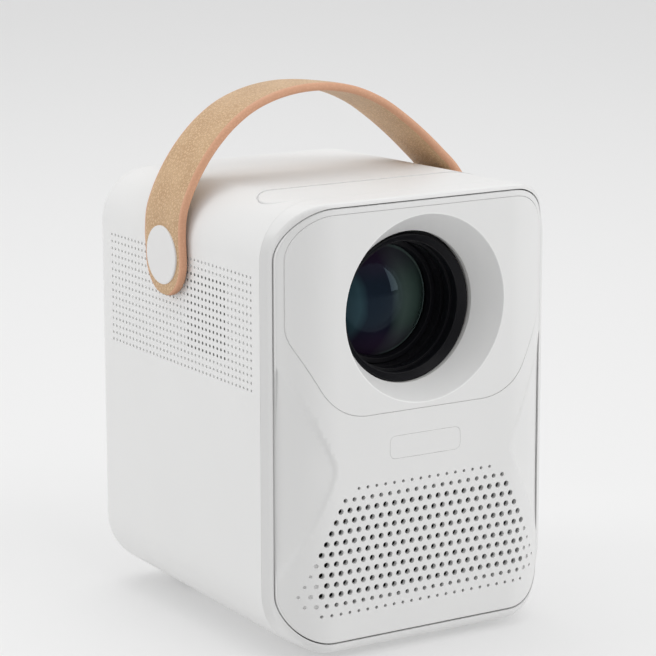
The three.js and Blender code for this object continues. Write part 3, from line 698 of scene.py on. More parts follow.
def side_of_field(z):
    """Half the width of the lens field at a height."""
    if z > FIELD_WAIST:
        return FIELD_SIDE
    return FIELD_FOOT + (z - FIELD_BOTTOM) * (FIELD_SIDE - FIELD_FOOT) / (FIELD_WAIST - FIELD_BOTTOM)


def roomy(x, z):
    """Whether a point of the front panel is clear of its edges, the badge and the lens field."""
    if abs(x) < BADGE_HALF + 0.8 and BADGE_LOW - 0.8 < z < BADGE_HIGH + 0.8:
        return False
    if 8.2 < z < 81:
        return abs(x) < 51.4
    return 84 < z < 136 and side_of_field(z) + 0.9 < abs(x) < 51.6


def waist_creases():
    """Both edges of the waist's step on each side, as lines that the sheet keeps."""
    low = 26.8
    high = 103.0
    heights = [low + k * (high - low) / 60 for k in range(61)]
    creases = []
    for side in (-1, 1):
        for offset in (0, WAIST_STEP):
            line = [(side * (waist_line(z) + offset), z) for z in heights]
            creases.append([(x, z) for x, z in line if abs(x) < SEAM_HALF - PANEL_EDGE - 0.1])
    return creases


def front_panel():
    """The recessed front with its waist, speaker grille, badge pocket and lens opening."""
    skin = Skin()
    surface = on_front(waist_sink)
    holes = grille()
    rings = [circle(x, z, r, 20) for x, z, r, _ in holes]
    field = lens_field(-0.22)
    pocket = badge_outline(0)
    border = panel_outline(PANEL_EDGE + 1.0)

    def free(x, z):
        if -0.5 < abs(x) - waist_line(z) < WAIST_STEP + 0.5:
            return False
        if (13 < z < 60 and abs(x) < 30) or not inside(border, x, z):
            return False
        near = min(math.hypot(x - hx, z - hz) for hx, hz, _, _ in holes)
        return near > 1.9 and roomy(x, z)

    points = scatter(-51.3, 51.3, 8.5, 136, 1.35, 1.8, free)
    edge = panel_outline(PANEL_EDGE)
    sheet(skin, edge, [field, pocket, *rings], points, surface, waist_creases())
    rim(skin, edge, panel_outline(GAP / 2), surface, PANEL_EDGE, 2.0, 4)
    groove = []
    for inset in (-0.2, 0.3):
        groove.append([((x, surface(x, z)[0][1] + 0.3, z), FORWARD) for x, z, _, _ in lens_field(inset)])
    skin.rows(groove)
    soft = 0.12
    for loop, depth in ((field, 2.0), (pocket, 0.8)):
        inward = [(x, z, -nx, -nz) for x, z, nx, nz in loop]
        shrunk = [(x - nx * soft, z - nz * soft, -nx, -nz) for x, z, nx, nz in loop]
        floor_ring = rim(skin, inward, shrunk, surface, soft, depth, wall_slot=1)
        if loop is pocket:
            skin.cap(floor_ring, FORWARD, 1)
    for (_, _, _, through), ring in zip(holes, rings):
        if through:
            pit(skin, ring, surface, 1.5)
        else:
            pit(skin, ring, surface, 0.6, 0.6)
    skin.build("front_panel", "case", [PANEL, HOLE])


def badge():
    """The blank plate in its pocket."""
    skin = Skin()
    surface = on_front()
    edge = badge_outline(0.30)
    sheet(skin, edge, [], [], surface)
    rim(skin, edge, badge_outline(0.16), surface, 0.14, 0.5)
    skin.build("blank_badge", "case", [PANEL])


def cone_ring(depth, extra=0.0):
    """A ring of the eccentric cone at a depth behind the front."""
    t = depth / THROAT_DEPTH
    z = RECESS_Z + (THROAT_Z - RECESS_Z) * t
    r = RECESS_R + (THROAT_R - RECESS_R) * t + extra
    return circle(0, z, r, 128)


def lens_panel():
    """The smooth field round the lens, with the cone that leads down to it."""
    skin = Skin()
    surface = on_front()
    outline = lens_field(0.18)
    mouth = cone_ring(0, MOUTH_EDGE)
    border = lens_field(1.2)

    def free(x, z):
        return math.hypot(x, z - RECESS_Z) >= RECESS_R + 2 and inside(border, x, z)

    points = scatter(-49.5, 49.5, 83, 148.5, 1.35, 1.8, free)
    sheet(skin, outline, [mouth], points, surface)
    rim(skin, outline, lens_field(0.06), surface, 0.12, 2.0)
    slope = Vector((THROAT_R - RECESS_R, THROAT_DEPTH)).normalized()
    roll_into_cone(skin, mouth, slope)
    rows = []
    steps = 10
    for k in range(steps + 1):
        depth = MOUTH_DROP + (THROAT_DEPTH - MOUTH_DROP) * k / steps
        ring = cone_ring(depth if k else 0)
        rows.append([((x, FRONT + depth, z), (-nx * slope.y, slope.x, -nz * slope.y))
                     for x, z, nx, nz in ring])
    skin.rows(rows, 1)
    bore = []
    for depth in (THROAT_DEPTH, THROAT_DEPTH + 3.4):
        ring = circle(0, THROAT_Z, THROAT_R, 128)
        bore.append([((x, FRONT + depth, z), (-nx, 0, -nz)) for x, z, nx, nz in ring])
    skin.rows(bore, 2)
    skin.build("lens_panel", "case", [PANEL, CONE, INNER])


def roll_into_cone(skin, mouth, slope):
    """The edge of the mouth rolls over from the front into the cone."""
    rows = []
    steps = 4
    for k, (sin, cos) in enumerate(quarter(steps)):
        a = k / steps
        reach = MOUTH_EDGE * sin
        drop = MOUTH_DROP * (1 - cos)
        row = []
        for x, z, nx, nz in mouth:
            normal = Vector((-nx * slope.y * a, -1 + a * (1 + slope.x), -nz * slope.y * a))
            row.append(((x - nx * reach, FRONT + drop, z - nz * reach), normal))
        rows.append(row)
    skin.rows(rows, 1)


# ---- Case ---------------------------------------------------------------------------

def drafted(x, y, z):
    """The case gets slightly lower towards its rear."""
    scale = 1 - DRAFT * (y - FRONT) / DEPTH
    return x, y, DRAFT_CENTRE + (z - DRAFT_CENTRE) * scale


def corner_arcs(corners, steps):
    """A loop of quarter rounds, (x, z, nx, nz), from corners (x, z, radius, first angle)."""
    out = []
    for x, z, r, start in corners:
        for k in range(steps + 1):
            a = math.radians(start + 90 * k / steps)
            out.append((x + r * math.cos(a), z + r * math.sin(a), math.cos(a), math.sin(a)))
    return out


def case_outline(inset=0.0, steps=CORNER_STEPS):
    """Outline of the case seen from the front, in order from the lower right corner."""
    low_x = HALF_WIDTH - CORNER_BOTTOM
    high_x = HALF_WIDTH - CORNER_TOP
    low_z = BOTTOM + CORNER_BOTTOM
    high_z = TOP - CORNER_TOP
    low_r = CORNER_BOTTOM - inset
    high_r = CORNER_TOP - inset
    return corner_arcs([(low_x, low_z, low_r, -90), (high_x, high_z, high_r, 0),
                        (-high_x, high_z, high_r, 90), (-low_x, low_z, low_r, 180)], steps)


def seam_outline():
    """The frame's edge of the seam round the front panel, point for point with case_outline."""
    x = SEAM_HALF - SEAM_CORNER
    low = SEAM_BOTTOM + SEAM_CORNER
    high = SEAM_TOP - SEAM_CORNER
    r = SEAM_CORNER + GAP / 2
    return corner_arcs([(x, low, r, -90), (x, high, r, 0), (-x, high, r, 90), (-x, low, r, 180)],
                       CORNER_STEPS)


def varied(side, top, bottom):
    """A value that differs between the sides, the top and the bottom of the case."""
    def value(nx, nz):
        return side * nx * nx + (top if nz > 0 else bottom) * nz * nz
    return value


def ledge(skin, points, outline, width):
    """A flat strip that faces backwards, from a loop of points inwards by a width."""
    rows = []
    for shift in (0, width):
        rows.append([((x - nx * shift, y, z - nz * shift), BACKWARD)
                     for (x, y, z), (_, _, nx, nz) in zip(points, outline)])
    skin.rows(rows)


def front_frame():
    """The ring round the front panel, from the crease on the sides to the seam."""
    skin = Skin()
    outline = case_outline()
    # Each station: share of the way from the outline to the seam, and depth behind the front.
    stations = []
    for k, (sin, cos) in enumerate(quarter(10)):
        roll = 1 - cos
        fall = 1 - sin
        side_depth = -0.35 * sin + (0.25 * roll if k > 6 else 0)
        stations.append((varied(0.62 + 0.38 * sin, roll, roll),
                         varied(side_depth, 1.5 * fall, 4.6 * fall)))
    first = [drafted(x, CREASE - 0.12, z) for x, z, _, _ in outline]
    rows = [first]
    for share, depth in stations:
        row = []
        for (x, z, nx, nz), (seam_x, seam_z, _, _) in zip(outline, seam_outline()):
            t = share(nx, nz)
            px = x + (seam_x - x) * t
            row.append(drafted(px, front_depth(px) + depth(nx, nz), z + (seam_z - z) * t))
        rows.append(row)
    # The wall of the seam goes straight back from the lip.
    rows.append([(x, y + 3.0, z) for x, y, z in rows[-1]])
    normals = smooth_normals(rows)
    skin.rows([list(zip(row, across)) for row, across in zip(rows[:-1], normals)])
    wall = [[(p, (-nx, 0, -nz)) for p, (_, _, nx, nz) in zip(row, outline)] for row in rows[-2:]]
    skin.rows(wall)
    ledge(skin, first, outline, 2.5)
    skin.build("front_frame", "case", [WHITE])


def smooth_normals(rows):
    """Outward normals of a closed loft, from the directions along and across it."""
    out = []
    count = len(rows[0])
    last = len(rows) - 2
    for j in range(len(rows)):
        row = []
        for i in range(count):
            a = Vector(rows[min(j + 1, last)][i]) - Vector(rows[max(min(j, last) - 1, 0)][i])
            b = Vector(rows[j][(i + 1) % count]) - Vector(rows[j][i - 1])
            n = a.cross(b)
            centre = Vector((0, 0, DRAFT_CENTRE))
            outward = Vector(rows[j][i]) - centre
            if n.dot(outward) < 0:
                n.negate()
            row.append(n.normalized())
        out.append(row)
    return out


def side_dots():
    """Dots of the side field: (y, z, through)."""
    dots = []
    for row in range(-8, 8):
        for column in range(40):
            deep = 7 <= column <= 17 and -6 <= row <= 4
            dots.append((DOT_Y + DOT_STEP_Y * column, DOT_Z - DOT_STEP_Z * row, deep))
    return dots


def shell():
    """The outer case, open at the front and the rear."""
    skin = Skin()
    rear_start = REAR - REAR_FILLET
    outline = case_outline()
    per = len(outline) // 4
    stations = [CREASE + (rear_start - CREASE) * k / 24 for k in range(25)]
    # The two lower corners, as strips that stop at the flat faces.
    for corner in (0, 3):
        arc_points = outline[corner * per:(corner + 1) * per]
        rows = [[(drafted(x, y, z), (nx, 0, nz)) for x, z, nx, nz in arc_points] for y in stations]
        skin.rows(rows, closed=False)
    # The rear edge rolls over by a quarter round to the cover's seam.
    rows = []
    for sin, cos in quarter(8):
        y = rear_start + REAR_FILLET * sin
        inset = REAR_FILLET * (1 - cos)
        rows.append([(drafted(x - nx * inset, y, z - nz * inset), (nx * cos, sin, nz * cos))
                     for x, z, nx, nz in outline])
    skin.rows(rows)
    seam = [[(p, (-nx, 0, -nz)) for (p, _), (_, _, nx, nz) in zip(rows[-1], outline)]]
    seam.append([((x, y - 2.6, z), n) for (x, y, z), n in seam[0]])
    skin.rows(seam)
    ledge(skin, [p for p, _ in seam[1]], outline, 3)
    # The front edge returns inwards at the parting line.
    lip = []
    for shift in (0, 2.4):
        lip.append([(drafted(x - nx * shift, CREASE, z - nz * shift), FORWARD)
                    for x, z, nx, nz in outline])
    skin.rows(lip)
    for side in (-1, 1):
        side_wall(skin, side, stations)
    crown(skin, stations)
    bottom_wall(skin, stations)
    skin.build("main_shell", "case", [WHITE, HOLE])


def side_wall(skin, side, stations):
    """A flat side with its field of dots and the hole for the strap's bush."""
    low = BOTTOM + CORNER_BOTTOM
    high = TOP - CORNER_TOP
    border = [(y, drafted(0, y, low)[2]) for y in stations]
    border += [(y, drafted(0, y, high)[2]) for y in reversed(stations)]
    # The strap's bush hides the wall round the hole, so dots there are left out.
    dots = [dot for dot in side_dots() if math.hypot(dot[0] - STRAP_Y, dot[1] - STRAP_Z) > BUSH_R + 1]
    rings = [circle(y, z, 0.55 if deep else 0.53, 12) for y, z, deep in dots]
    hole = circle(STRAP_Y, STRAP_Z, BUSH_R, 40)
    sheet(skin, border, [hole] + rings, [], lambda y, z: ((side * HALF_WIDTH, y, z), (side, 0, 0)))
    for (y0, z0, deep), ring in zip(dots, rings):
        x = side * (HALF_WIDTH - (1.1 if deep else 0.4))
        share = 1.0 if deep else 0.6
        top = []
        low_ring = []
        for y, z, ny, nz in ring:
            top.append(((side * HALF_WIDTH, y, z), (0, -ny, -nz)))
            low_ring.append(((x, y0 + (y - y0) * share, z0 + (z - z0) * share), (0, -ny, -nz)))
        shade = 1 if deep else 0
        skin.rows([top, low_ring], shade)
        skin.cap([p for p, _ in low_ring], (side, 0, 0), shade)


def strip_outline(inset):
    """Outline in x and y of the field of touch keys."""
    half = STRIP_HALF - inset
    r = (STRIP_FAR - STRIP_NEAR) / 2 - inset - 0.02
    loop = rounded(rectangle(-half, half, STRIP_NEAR + inset, STRIP_FAR - inset, r), 20)
    return evenly(loop, 3)


def unrolled(loop):
    """Turns x into the distance along the section of the top and its rounded corners."""
    flat = HALF_WIDTH - CORNER_TOP
    out = []
    for x, y, nx, ny in loop:
        if abs(x) > flat:
            reach = flat + CORNER_TOP * math.asin(min(1, (abs(x) - flat) / CORNER_TOP))
            x = math.copysign(reach, x)
        out.append((x, y, nx, ny))
    return out


def over_crown(sink):
    """The top and its two rounded corners as a surface of (distance along section, y)."""
    flat = HALF_WIDTH - CORNER_TOP
    tilt = DRAFT * (TOP - DRAFT_CENTRE) / DEPTH

    def surface(a, y):
        angle = max(0.0, (abs(a) - flat) / CORNER_TOP)
        side = math.copysign(1, a)
        x = side * (flat + (CORNER_TOP - sink) * math.sin(angle)) if angle else a
        z = TOP - CORNER_TOP + (CORNER_TOP - sink) * math.cos(angle)
        n = (side * math.sin(angle), tilt * math.cos(angle), math.cos(angle))
        return drafted(x, y, z), n

    return surface


def across_crown(normal, na, ny):
    """A direction of the unrolled top, as a direction in space."""
    across = Vector((normal[2], 0, -normal[0])).normalized()
    return across * na + Vector((0, ny, 0))


def crown(skin, stations):
    """The top of the case with the recess of the touch keys."""
    flat = HALF_WIDTH - CORNER_TOP
    curved = CORNER_TOP * math.pi / 2
    across = [-flat - curved * (1 - k / 16) for k in range(16)]
    across += [-flat + 2 * flat * k / 12 for k in range(13)]
    across += [flat + curved * (k + 1) / 16 for k in range(16)]
    border = [(a, stations[0]) for a in across[:-1]]
    border += [(across[-1], y) for y in stations[:-1]]
    border += [(a, stations[-1]) for a in reversed(across[1:])]
    border += [(across[0], y) for y in reversed(stations[1:])]
    field = unrolled(strip_outline(0))
    margin = unrolled(strip_outline(-0.6))
    extra = scatter(-65, 65, -48, 55, 2, 3, lambda a, y: not inside(margin, a, y))
    sheet(skin, border, [field], extra, over_crown(0))
    recess = []
    for sink in (0, STRIP_SINK):
        row = []
        for a, y, na, ny in field:
            point, normal = over_crown(sink)(a, y)
            row.append((point, -across_crown(normal, na, ny)))
        recess.append(row)
    skin.rows(recess)
    floor_rows = []
    for inset in (0, 0.8):
        floor_rows.append([over_crown(STRIP_SINK)(a, y) for a, y, _, _ in unrolled(strip_outline(inset))])
    skin.rows(floor_rows)


def touch_strip():
    """The gently sunken insert that carries the touch keys."""
    skin = Skin()
    inner = unrolled(strip_outline(1.1))
    outer = unrolled(strip_outline(0.25))
    margin = unrolled(strip_outline(1.8))
    extra = scatter(-52, 52, -48, -22, 2, 3, lambda a, y: inside(margin, a, y))
    sheet(skin, inner, [], extra, over_crown(STRIP_FACE))
    rows = []
    for sin, cos in quarter(4):
        surface = over_crown(STRIP_FACE + 0.3 * (1 - cos))
        row = []
        for (ia, iy, _, _), (oa, oy, na, ny) in zip(inner, outer):
            point, normal = surface(ia + (oa - ia) * sin, iy + (oy - iy) * sin)
            row.append((point, Vector(normal) * cos + across_crown(normal, na, ny) * sin))
        rows.append(row)
    skin.rows(rows)
    skin.build("touch_strip", "case", [PANEL])


def bottom_wall(skin, stations):
    """The flat underside with the opening of the tripod insert."""
    half = HALF_WIDTH - CORNER_BOTTOM
    tilt = DRAFT * (DRAFT_CENTRE - BOTTOM) / DEPTH

    def surface(x, y):
        return drafted(x, y, BOTTOM), (0, -tilt, -1)

    border = [(-half, y) for y in reversed(stations)] + [(half, y) for y in stations]
    points = scatter(-half + 2, half - 2, CREASE + 3, 54, 4, 4, lambda x, y: True)
    sheet(skin, border, [circle(0, 12, 5.3, 32)], points, surface)


# ---- Rear, feet and small parts -----------------------------------------------------

def rear_openings():
    """Loops of all openings of the rear cover."""
    slot_height = 2.4
    loops = []
    for k in range(9):
        z = 17 + 5 * k
        loops.append(rounded(rectangle(-30, 30, z, z + slot_height, 1.15), 5))
    for x0, x1 in ((-34.6, -18.4), (-10.6, 3.6)):
        loops.append(rounded(rectangle(x0, x1, SOCKET_Z - 3.3, SOCKET_Z + 3.3, 0.6), 3))
    loops.append(rounded(rectangle(-4.4, 4.4, BUTTON_Z - 3.4, BUTTON_Z + 3.4, 0.8), 3))
    loops.append(circle(14, SOCKET_Z, 3.4, 32))
    loops.append(circle(32, SOCKET_Z, 5.4, 40))
    loops.append(circle(BUTTON_X, BUTTON_Z, 5.3, 40))
    return loops + [circle(x, z, SCREW_R, 32) for x, z in SCREWS]


def rear_border(inset):
    """The cover's outline at the rear face, inset from the case's outline."""
    loop = []
    for x, z, nx, nz in evenly(case_outline(inset, 12), 4):
        px, _, pz = drafted(x, REAR, z)
        loop.append((px, pz, nx, nz))
    return loop


def rear_cover():
    """Rear plate with vent slots, socket openings, screw seats and a rounded border."""
    skin = Skin()
    edge = 0.6
    holes = rear_openings()
    inner = rear_border(REAR_FILLET + GAP + edge)
    outer = rear_border(REAR_FILLET + GAP)
    sheet(skin, inner, holes, [], lambda x, z: ((x, REAR, z), BACKWARD))
    rows = []
    for sin, cos in quarter(4):
        row = []
        for (ix, iz, nx, nz), (ox, oz, _, _) in zip(inner, outer):
            place = (ix + (ox - ix) * sin, REAR - edge * (1 - cos), iz + (oz - iz) * sin)
            row.append((place, (nx * sin, cos, nz * sin)))
        rows.append(row)
    skin.rows(rows)
    for hole in holes:
        top = [((x, REAR, z), (-nx, 0, -nz)) for x, z, nx, nz in hole]
        low = [((x, REAR - 2.3, z), n) for (x, _, z), n in top]
        skin.rows([top, low])
    for x, z in SCREWS:
        skin.cap([(px, REAR - 1.3, pz) for px, pz, _, _ in circle(x, z, SCREW_R, 32)], BACKWARD)
    skin.build("rear_cover", "case", [WHITE])


def foot(index, x, y):
    """A push-in rubber foot with a soft edge and a shallow ring in its tread."""
    skin = Skin()
    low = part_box(f"rubber_foot_{index}")[0][2] / MM
    high = drafted(0, y - 7, BOTTOM)[2] - 0.2 if y > 0 else 2.0
    profile = [[0, low, 0], [3.4, low, 0], [3.7, low + 0.3, 0.1], [4.3, low + 0.3, 0.1], [4.6, low, 0.1],
               [6.4, low, 0.7], [6.4, high, 0.2], [2.1, high, 0], [2.1, high + 4.4, 0],
               [3.4, high + 4.9, 0.2], [1.6, high + 8, 0.3], [0, high + 8, 0]]
    turned(skin, profile, (x, y, 0), "Z", 48)
    skin.build(f"rubber_foot_{index}", "case", [RUBBER])


def power_button():
    """Round key with a dished face and a collar behind the cover."""
    skin = Skin()
    profile = [[0, REAR - 6.6, 0], [2, REAR - 6.6, 0], [2, REAR - 5, 0], [6.4, REAR - 5, 0],
               [6.4, REAR - 2.7, 0.2], [5.0, REAR - 2.7, 0], [5.0, REAR, 0.7], [3.6, REAR, 0.3],
               [3.2, REAR - 0.3, 0.4], [0, REAR - 0.35, 0]]
    turned(skin, profile, (BUTTON_X, 0, BUTTON_Z), "Y", 48)
    skin.build("power_button", "power_key", [INNER])


# ---- Strap --------------------------------------------------------------------------

def strap_curve():
    """Points along the strap's outer face, seen from the front, as (x, height over pivot)."""
    left = [(-59.5, -STRAP_TIP), (-59.5, 0), (-59.5, 8), (-58.6, 15), (-56.1, 21.5), (-52.8, 27.5),
            (-48.8, 33.3), (-43.8, 39), (-37.6, 44.5), (-29, 49.8), (-17, 53.7), (-3, 55)]
    right = [(11.5, 53), (23.5, 48), (33.2, 41.4), (41.2, 34.8), (47.8, 28.6), (53.9, 22.3),
             (58.2, 15), (59.5, 8), (59.5, 0), (59.5, -STRAP_TIP)]
    points = [Vector(p) for p in reversed(left + right)]
    return catmull(points, 12)


def between(a, b, start, end, t):
    """The place at time t of a point that is at a at time start, and at b at time end."""
    return a * ((end - t) / (end - start)) + b * ((t - start) / (end - start))


def catmull(points, parts):
    """Centripetal Catmull-Rom curve through the points."""
    ends = [2 * points[0] - points[1], *points, 2 * points[-1] - points[-2]]
    out = []
    for i in range(1, len(ends) - 2):
        p0, p1, p2, p3 = ends[i - 1:i + 3]
        t0 = 0.0
        t1 = t0 + math.sqrt((p1 - p0).length)
        t2 = t1 + math.sqrt((p2 - p1).length)
        t3 = t2 + math.sqrt((p3 - p2).length)
        for k in range(parts):
            t = t1 + (t2 - t1) * k / parts
            middle = between(p1, p2, t1, t2, t)
            first = between(between(p0, p1, t0, t1, t), middle, t0, t2, t)
            second = between(middle, between(p2, p3, t2, t3, t), t1, t3, t)
            out.append(between(first, second, t1, t2, t))
    out.append(points[-1])
    return out


def leaned(direction):
    """Leans a direction of the upright strap backwards."""
    x, y, z = direction
    c, s = math.cos(STRAP_LEAN), math.sin(STRAP_LEAN)
    return (x, y * c + z * s, z * c - y * s)


def on_pivots(point):
    """Leans a point of the strap about the pivots and puts it in place."""
    x, y, z = leaned(point)
    return (x, STRAP_Y + y, STRAP_Z + z)


def leather_strap():
    """The strap: two leather faces with a rounded painted edge between them."""
    skin = Skin()
    line = strap_curve()
    total = sum((b - a).length for a, b in zip(line, line[1:]))
    ends = [STRAP_HALF * (1 - math.cos(math.radians(9 * k))) for k in range(1, 11)]
    count = round((total - 2 * STRAP_HALF) / 1.2)
    middle = [STRAP_HALF + (total - 2 * STRAP_HALF) * k / count for k in range(1, count)]
    rows = []
    round_r = STRAP_THICK / 2
    for s in ends + middle + [total - e for e in reversed(ends)]:
        here = point_along(line, s)
        along = (point_along(line, s + 0.1) - point_along(line, s - 0.1)).normalized()
        near = min(s, total - s)
        end = max(0.0, STRAP_HALF - near)
        half = math.sqrt(STRAP_HALF ** 2 - end ** 2)
        squeeze = math.sqrt(1 - (1 - min(1.0, near / round_r)) ** 2)
        rows.append(strap_ring(here, Vector((-along.y, along.x)), half, round_r, squeeze))
    skin_strap(skin, rows)
    skin.build("leather_strap", "strap", [LEATHER, EDGE])


def point_along(line, distance):
    """The point at a distance along a line of points."""
    for a, b in zip(line, line[1:]):
        step = (b - a).length
        if distance <= step or b is line[-1]:
            return a.lerp(b, distance / step)
        distance -= step
    return line[-1]


def strap_ring(p, inward, half, r, squeeze):
    """Section of the strap: (point, normal, is_edge) round the band."""
    ring = []
    flat = max(half - r, 0.02)
    for side in (-1, 1):
        for k in range(11):
            t = side * (2 * k / 10 - 1)
            # Padding lifts the middle of each face a little.
            lift = 0.25 * (1 - t ** 4)
            ring.append((-flat * t, side * (r - 0.25 + lift), side, -0.12 * t ** 3, False))
        for k in range(1, 8):
            a = math.pi * k / 8
            ring.append((-side * (flat + r * math.sin(a)), side * (r - 0.25) * math.cos(a),
                         side * math.cos(a), -side * math.sin(a), True))
    out = []
    for y, d, n_in, n_y, edge in ring:
        depth = r + d * squeeze
        point = (p.x + inward.x * depth, y, p.y + inward.y * depth)
        normal = leaned((inward.x * n_in, n_y, inward.y * n_in))
        out.append((on_pivots(point), normal, edge))
    return out


def skin_strap(skin, rows):
    """Joins the strap's sections, with its painted edge in the second material slot."""
    width = len(rows[0])
    points = [p for row in rows for p, _, _ in row]
    normals = [n for row in rows for _, n, _ in row]
    faces, edges = [], []
    for j in range(len(rows) - 1):
        for i in range(width):
            k = (i + 1) % width
            face = (j * width + i, j * width + k, (j + 1) * width + k, (j + 1) * width + i)
            target = edges if rows[j][i][2] or rows[j][k][2] else faces
            target.append(face)
    skin.add(points, normals, faces, 0)
    skin.add(points, normals, edges, 1)
    for row in (rows[0], rows[-1]):
        skin.cap([p for p, _, _ in row], leaned((0, 0, -1)), 1)


def strap_pivot(side, label):
    """Round cap with a soft edge, on the pin that runs through strap and wall."""
    skin = Skin()
    profile = [[0, 48, 0], [2.4, 48, 0.2], [3.0, 48.6, 0.2], [3.0, CAP_SEAT, 0], [CAP_R, CAP_SEAT, 0.1],
               [CAP_R, CAP_FACE - 0.05, 0.45], [0, CAP_FACE, 0]]
    turned(skin, profile, (0, 0, 0), "X", 96)
    skin.points = [(side * x, y + STRAP_Y, z + STRAP_Z) for x, y, z in skin.points]
    skin.normals = [(side * x, y, z) for x, y, z in skin.normals]
    if side < 0:
        skin.faces = [face[::-1] for face in skin.faces]
    skin.build(f"strap_pivot_{label}", "strap", [CAP])


# ---- Lens ---------------------------------------------------------------------------

def arc(edge, radius, at, towards, steps=24):
    """Profile of a spherical face from the axis to its edge."""
    base = math.sqrt(radius ** 2 - edge ** 2)
    out = []
    for k in range(steps + 1):
        a = math.asin(edge / radius) * k / steps
        out.append([radius * math.sin(a), at + towards * (radius * math.cos(a) - base), 0])
    return out


def lens_ring(node, profile, body):
    """A black turned ring round the lens axis."""
    skin = Skin()
    turned(skin, profile, (0, 0, LENS_Z), "Y", 128)
    skin.build(node, body, [HOOD])


def about_lens(radius, along, outward, forward):
    """A ring of (point, normal) about the lens axis."""
    return [((radius * c, along, LENS_Z + radius * s), (outward * c, forward, outward * s))
            for c, s in around(96)]


def front_lens(front, back):
    """The lens from the profiles of its two faces, each smooth, joined at the rim."""
    skin = Skin()
    for face, towards in ((front, -1), (back, 1)):
        rows = []
        for k, (r, along, _) in enumerate(face):
            before = face[max(k - 1, 0)]
            after = face[min(k + 1, len(face) - 1)]
            slope = Vector((after[0] - before[0], after[1] - before[1]))
            normal = Vector((slope.y, -slope.x)) * -towards
            if k == 0:
                normal = Vector((0, towards))
            rows.append(about_lens(r, along, normal.x, normal.y))
        skin.rows(rows)
    side = [about_lens(r, along, 1, 0) for r, along, _ in (front[-1], back[-1])]
    skin.rows(side)
    skin.build("front_lens", "lens_carriage", [GLASS])


def lens_stack():
    """The black rings and the front lens, by their depth behind the front."""
    at = FRONT
    hood = [[27.5, at + 15, 0.1], [27.5, at + 21, 0.1], [21.5, at + 21, 0.1], [21.5, at + 18, 0.15],
            [22.2, at + 18, 0.1], [22.2, at + 14.4, 0.1], [22.5, at + 14.4, 0.1], [24.5, at + 12.2, 0.15],
            [24.9, at + 12.4, 0.15], [24.9, at + 15, 0.1]]
    lens_ring("lens_hood", hood, "case")
    retainer = [[19.0, at + 28.2, 0.1], [19.6, at + 28.2, 0.05], [19.6, at + 33.6, 0.1],
                [21.3, at + 33.6, 0.1], [21.3, at + 26.2, 0.2], [19.6, at + 26.2, 0.2]]
    lens_ring("front_retaining_ring", retainer, "lens_carriage")
    edge = 19.2
    front_lens(arc(edge, 30, at + 29.6, -1), [[edge * k / 8, at + 33.1, 0] for k in range(9)])


# ---- Materials of the CAD nodes that show as they are -------------------------------

def dress(mat, *nodes):
    """Gives CAD nodes that show as they are one material."""
    for node in nodes:
        for slot in bpy.data.objects[node].material_slots:
            slot.material = mat


def dress_frame():
    """Materials of the pieces inside and at the back."""
    dress(BLACK, "lens_guide_tube", "lens_barrel", "optics_housing", "lamp_hood", "fan_frame", "fan_rotor",
          "speaker_cone", "av_socket", "dc_socket", "ir_receiver", "lcd_panel")
    dress(STEEL, "rear_screw_1", "rear_screw_2", "rear_screw_3", "rear_screw_4", "pivot_washer_left",
          "pivot_washer_right", "focus_motor", "focus_lead_screw", "speaker_basket", "speaker_magnet",
          "hdmi_socket", "usb_socket")
    dress(INNER, "pivot_bush_left", "pivot_bush_right")
    dress(BRASS, "tripod_insert")
    dress(COPPER, "led_board")
    dress(ALLOY, "heat_sink")
    dress(MIRROR, "folding_mirror")
    dress(BOARD, "touch_board", "main_board", "power_board")
    dress(CLEAR, "rear_lens", "fresnel_upper", "fresnel_lower", "condenser_lens")


# ---- Stage, light and camera --------------------------------------------------------

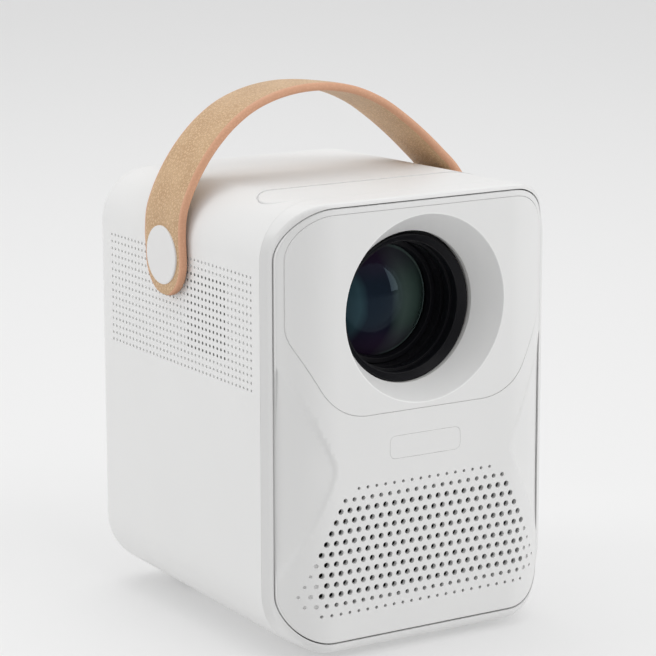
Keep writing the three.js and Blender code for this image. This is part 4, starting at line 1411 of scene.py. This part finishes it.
def floor():
    """One seamless pale sweep: a floor that curves up into a backdrop far behind."""
    skin = Skin()
    near = -4000
    bend = 2600
    radius = 900
    profile = [(near, 0, 0, 1), (bend, 0, 0, 1)]
    for sin, cos in quarter(12)[1:]:
        profile.append((bend + radius * sin, radius * (1 - cos), -sin, cos))
    profile.append((bend + radius, 4500, -1, 0))
    turn = math.radians(-32.1)
    c, s = math.cos(turn), math.sin(turn)
    rows = []
    for x in (-6000, 6000):
        rows.append([((x * c - y * s, x * s + y * c, z), (-ny * s, ny * c, nz))
                     for y, z, ny, nz in profile])
    skin.rows(rows, closed=False)
    mat, tree, shader = new_material("sweep_paper", Roughness=0.6)
    tone = blend_colour(tree, noise(tree, 2, 2), (0.49, 0.49, 0.49), (0.50, 0.50, 0.50))
    tree.links.new(tone, shader.inputs["Base Color"])
    # The sweep glows evenly, a painted light that keeps the shadow on it light.
    shader.inputs["Emission Color"].default_value = (1, 1, 1, 1)
    shader.inputs["Emission Strength"].default_value = 0.315
    skin.as_object("sweep", [mat])


def area_light(name, place, target, size, power):
    """A white rectangular light at a place, aimed at a target."""
    data = bpy.data.lights.new(name, "AREA")
    data.shape = "RECTANGLE"
    data.size, data.size_y = size
    data.energy = power
    obj = bpy.data.objects.new(name, data)
    obj.location = place
    aim = Vector(target) - Vector(place)
    obj.rotation_euler = aim.to_track_quat("-Z", "Y").to_euler()
    bpy.context.scene.collection.objects.link(obj)


def studio():
    """White surroundings and five soft boxes."""
    world = bpy.data.worlds.new("studio")
    world.use_nodes = True
    world.node_tree.nodes["Background"].inputs["Color"].default_value = (1, 1, 1, 1)
    world.node_tree.nodes["Background"].inputs["Strength"].default_value = 0.46
    bpy.context.scene.world = world
    middle = (0, 0, 0.09)
    area_light("top_box", (-0.1, 0.2, 1.5), middle, (1.6, 1.6), 9.2)
    area_light("left_box", (-1.25, 0.7, 0.5), middle, (0.9, 1.0), 6.2)
    area_light("right_box", (1.2, -1.0, 0.6), middle, (0.8, 1.0), 6.2)
    area_light("front_box", (0.15, -1.15, 1.4), middle, (0.9, 0.7), 4.9)
    area_light("far_box", (1.0, 1.6, 1.8), (1.0, 1.6, 0), (2.4, 2.4), 8)


def camera():
    """The photograph's view, from the front left and slightly above."""
    data = bpy.data.cameras.new("camera")
    data.lens = 152.34
    data.sensor_width = 36
    obj = bpy.data.objects.new("camera", data)
    obj.location = (-0.4999, -0.7994, 0.2984)
    obj.rotation_euler = (math.radians(77.97), math.radians(0.09), math.radians(-32.10))
    bpy.context.scene.collection.objects.link(obj)
    bpy.context.scene.camera = obj


# ---- Assembly -----------------------------------------------------------------------

front_panel()
badge()
lens_panel()
front_frame()
shell()
touch_strip()
rear_cover()
for number, (foot_x, foot_y) in enumerate(FEET, 1):
    foot(number, foot_x, foot_y)
power_button()
leather_strap()
strap_pivot(-1, "left")
strap_pivot(1, "right")
lens_stack()
dress_frame()
floor()
studio()
camera()
bpy.context.scene.view_settings.view_transform = "Standard"
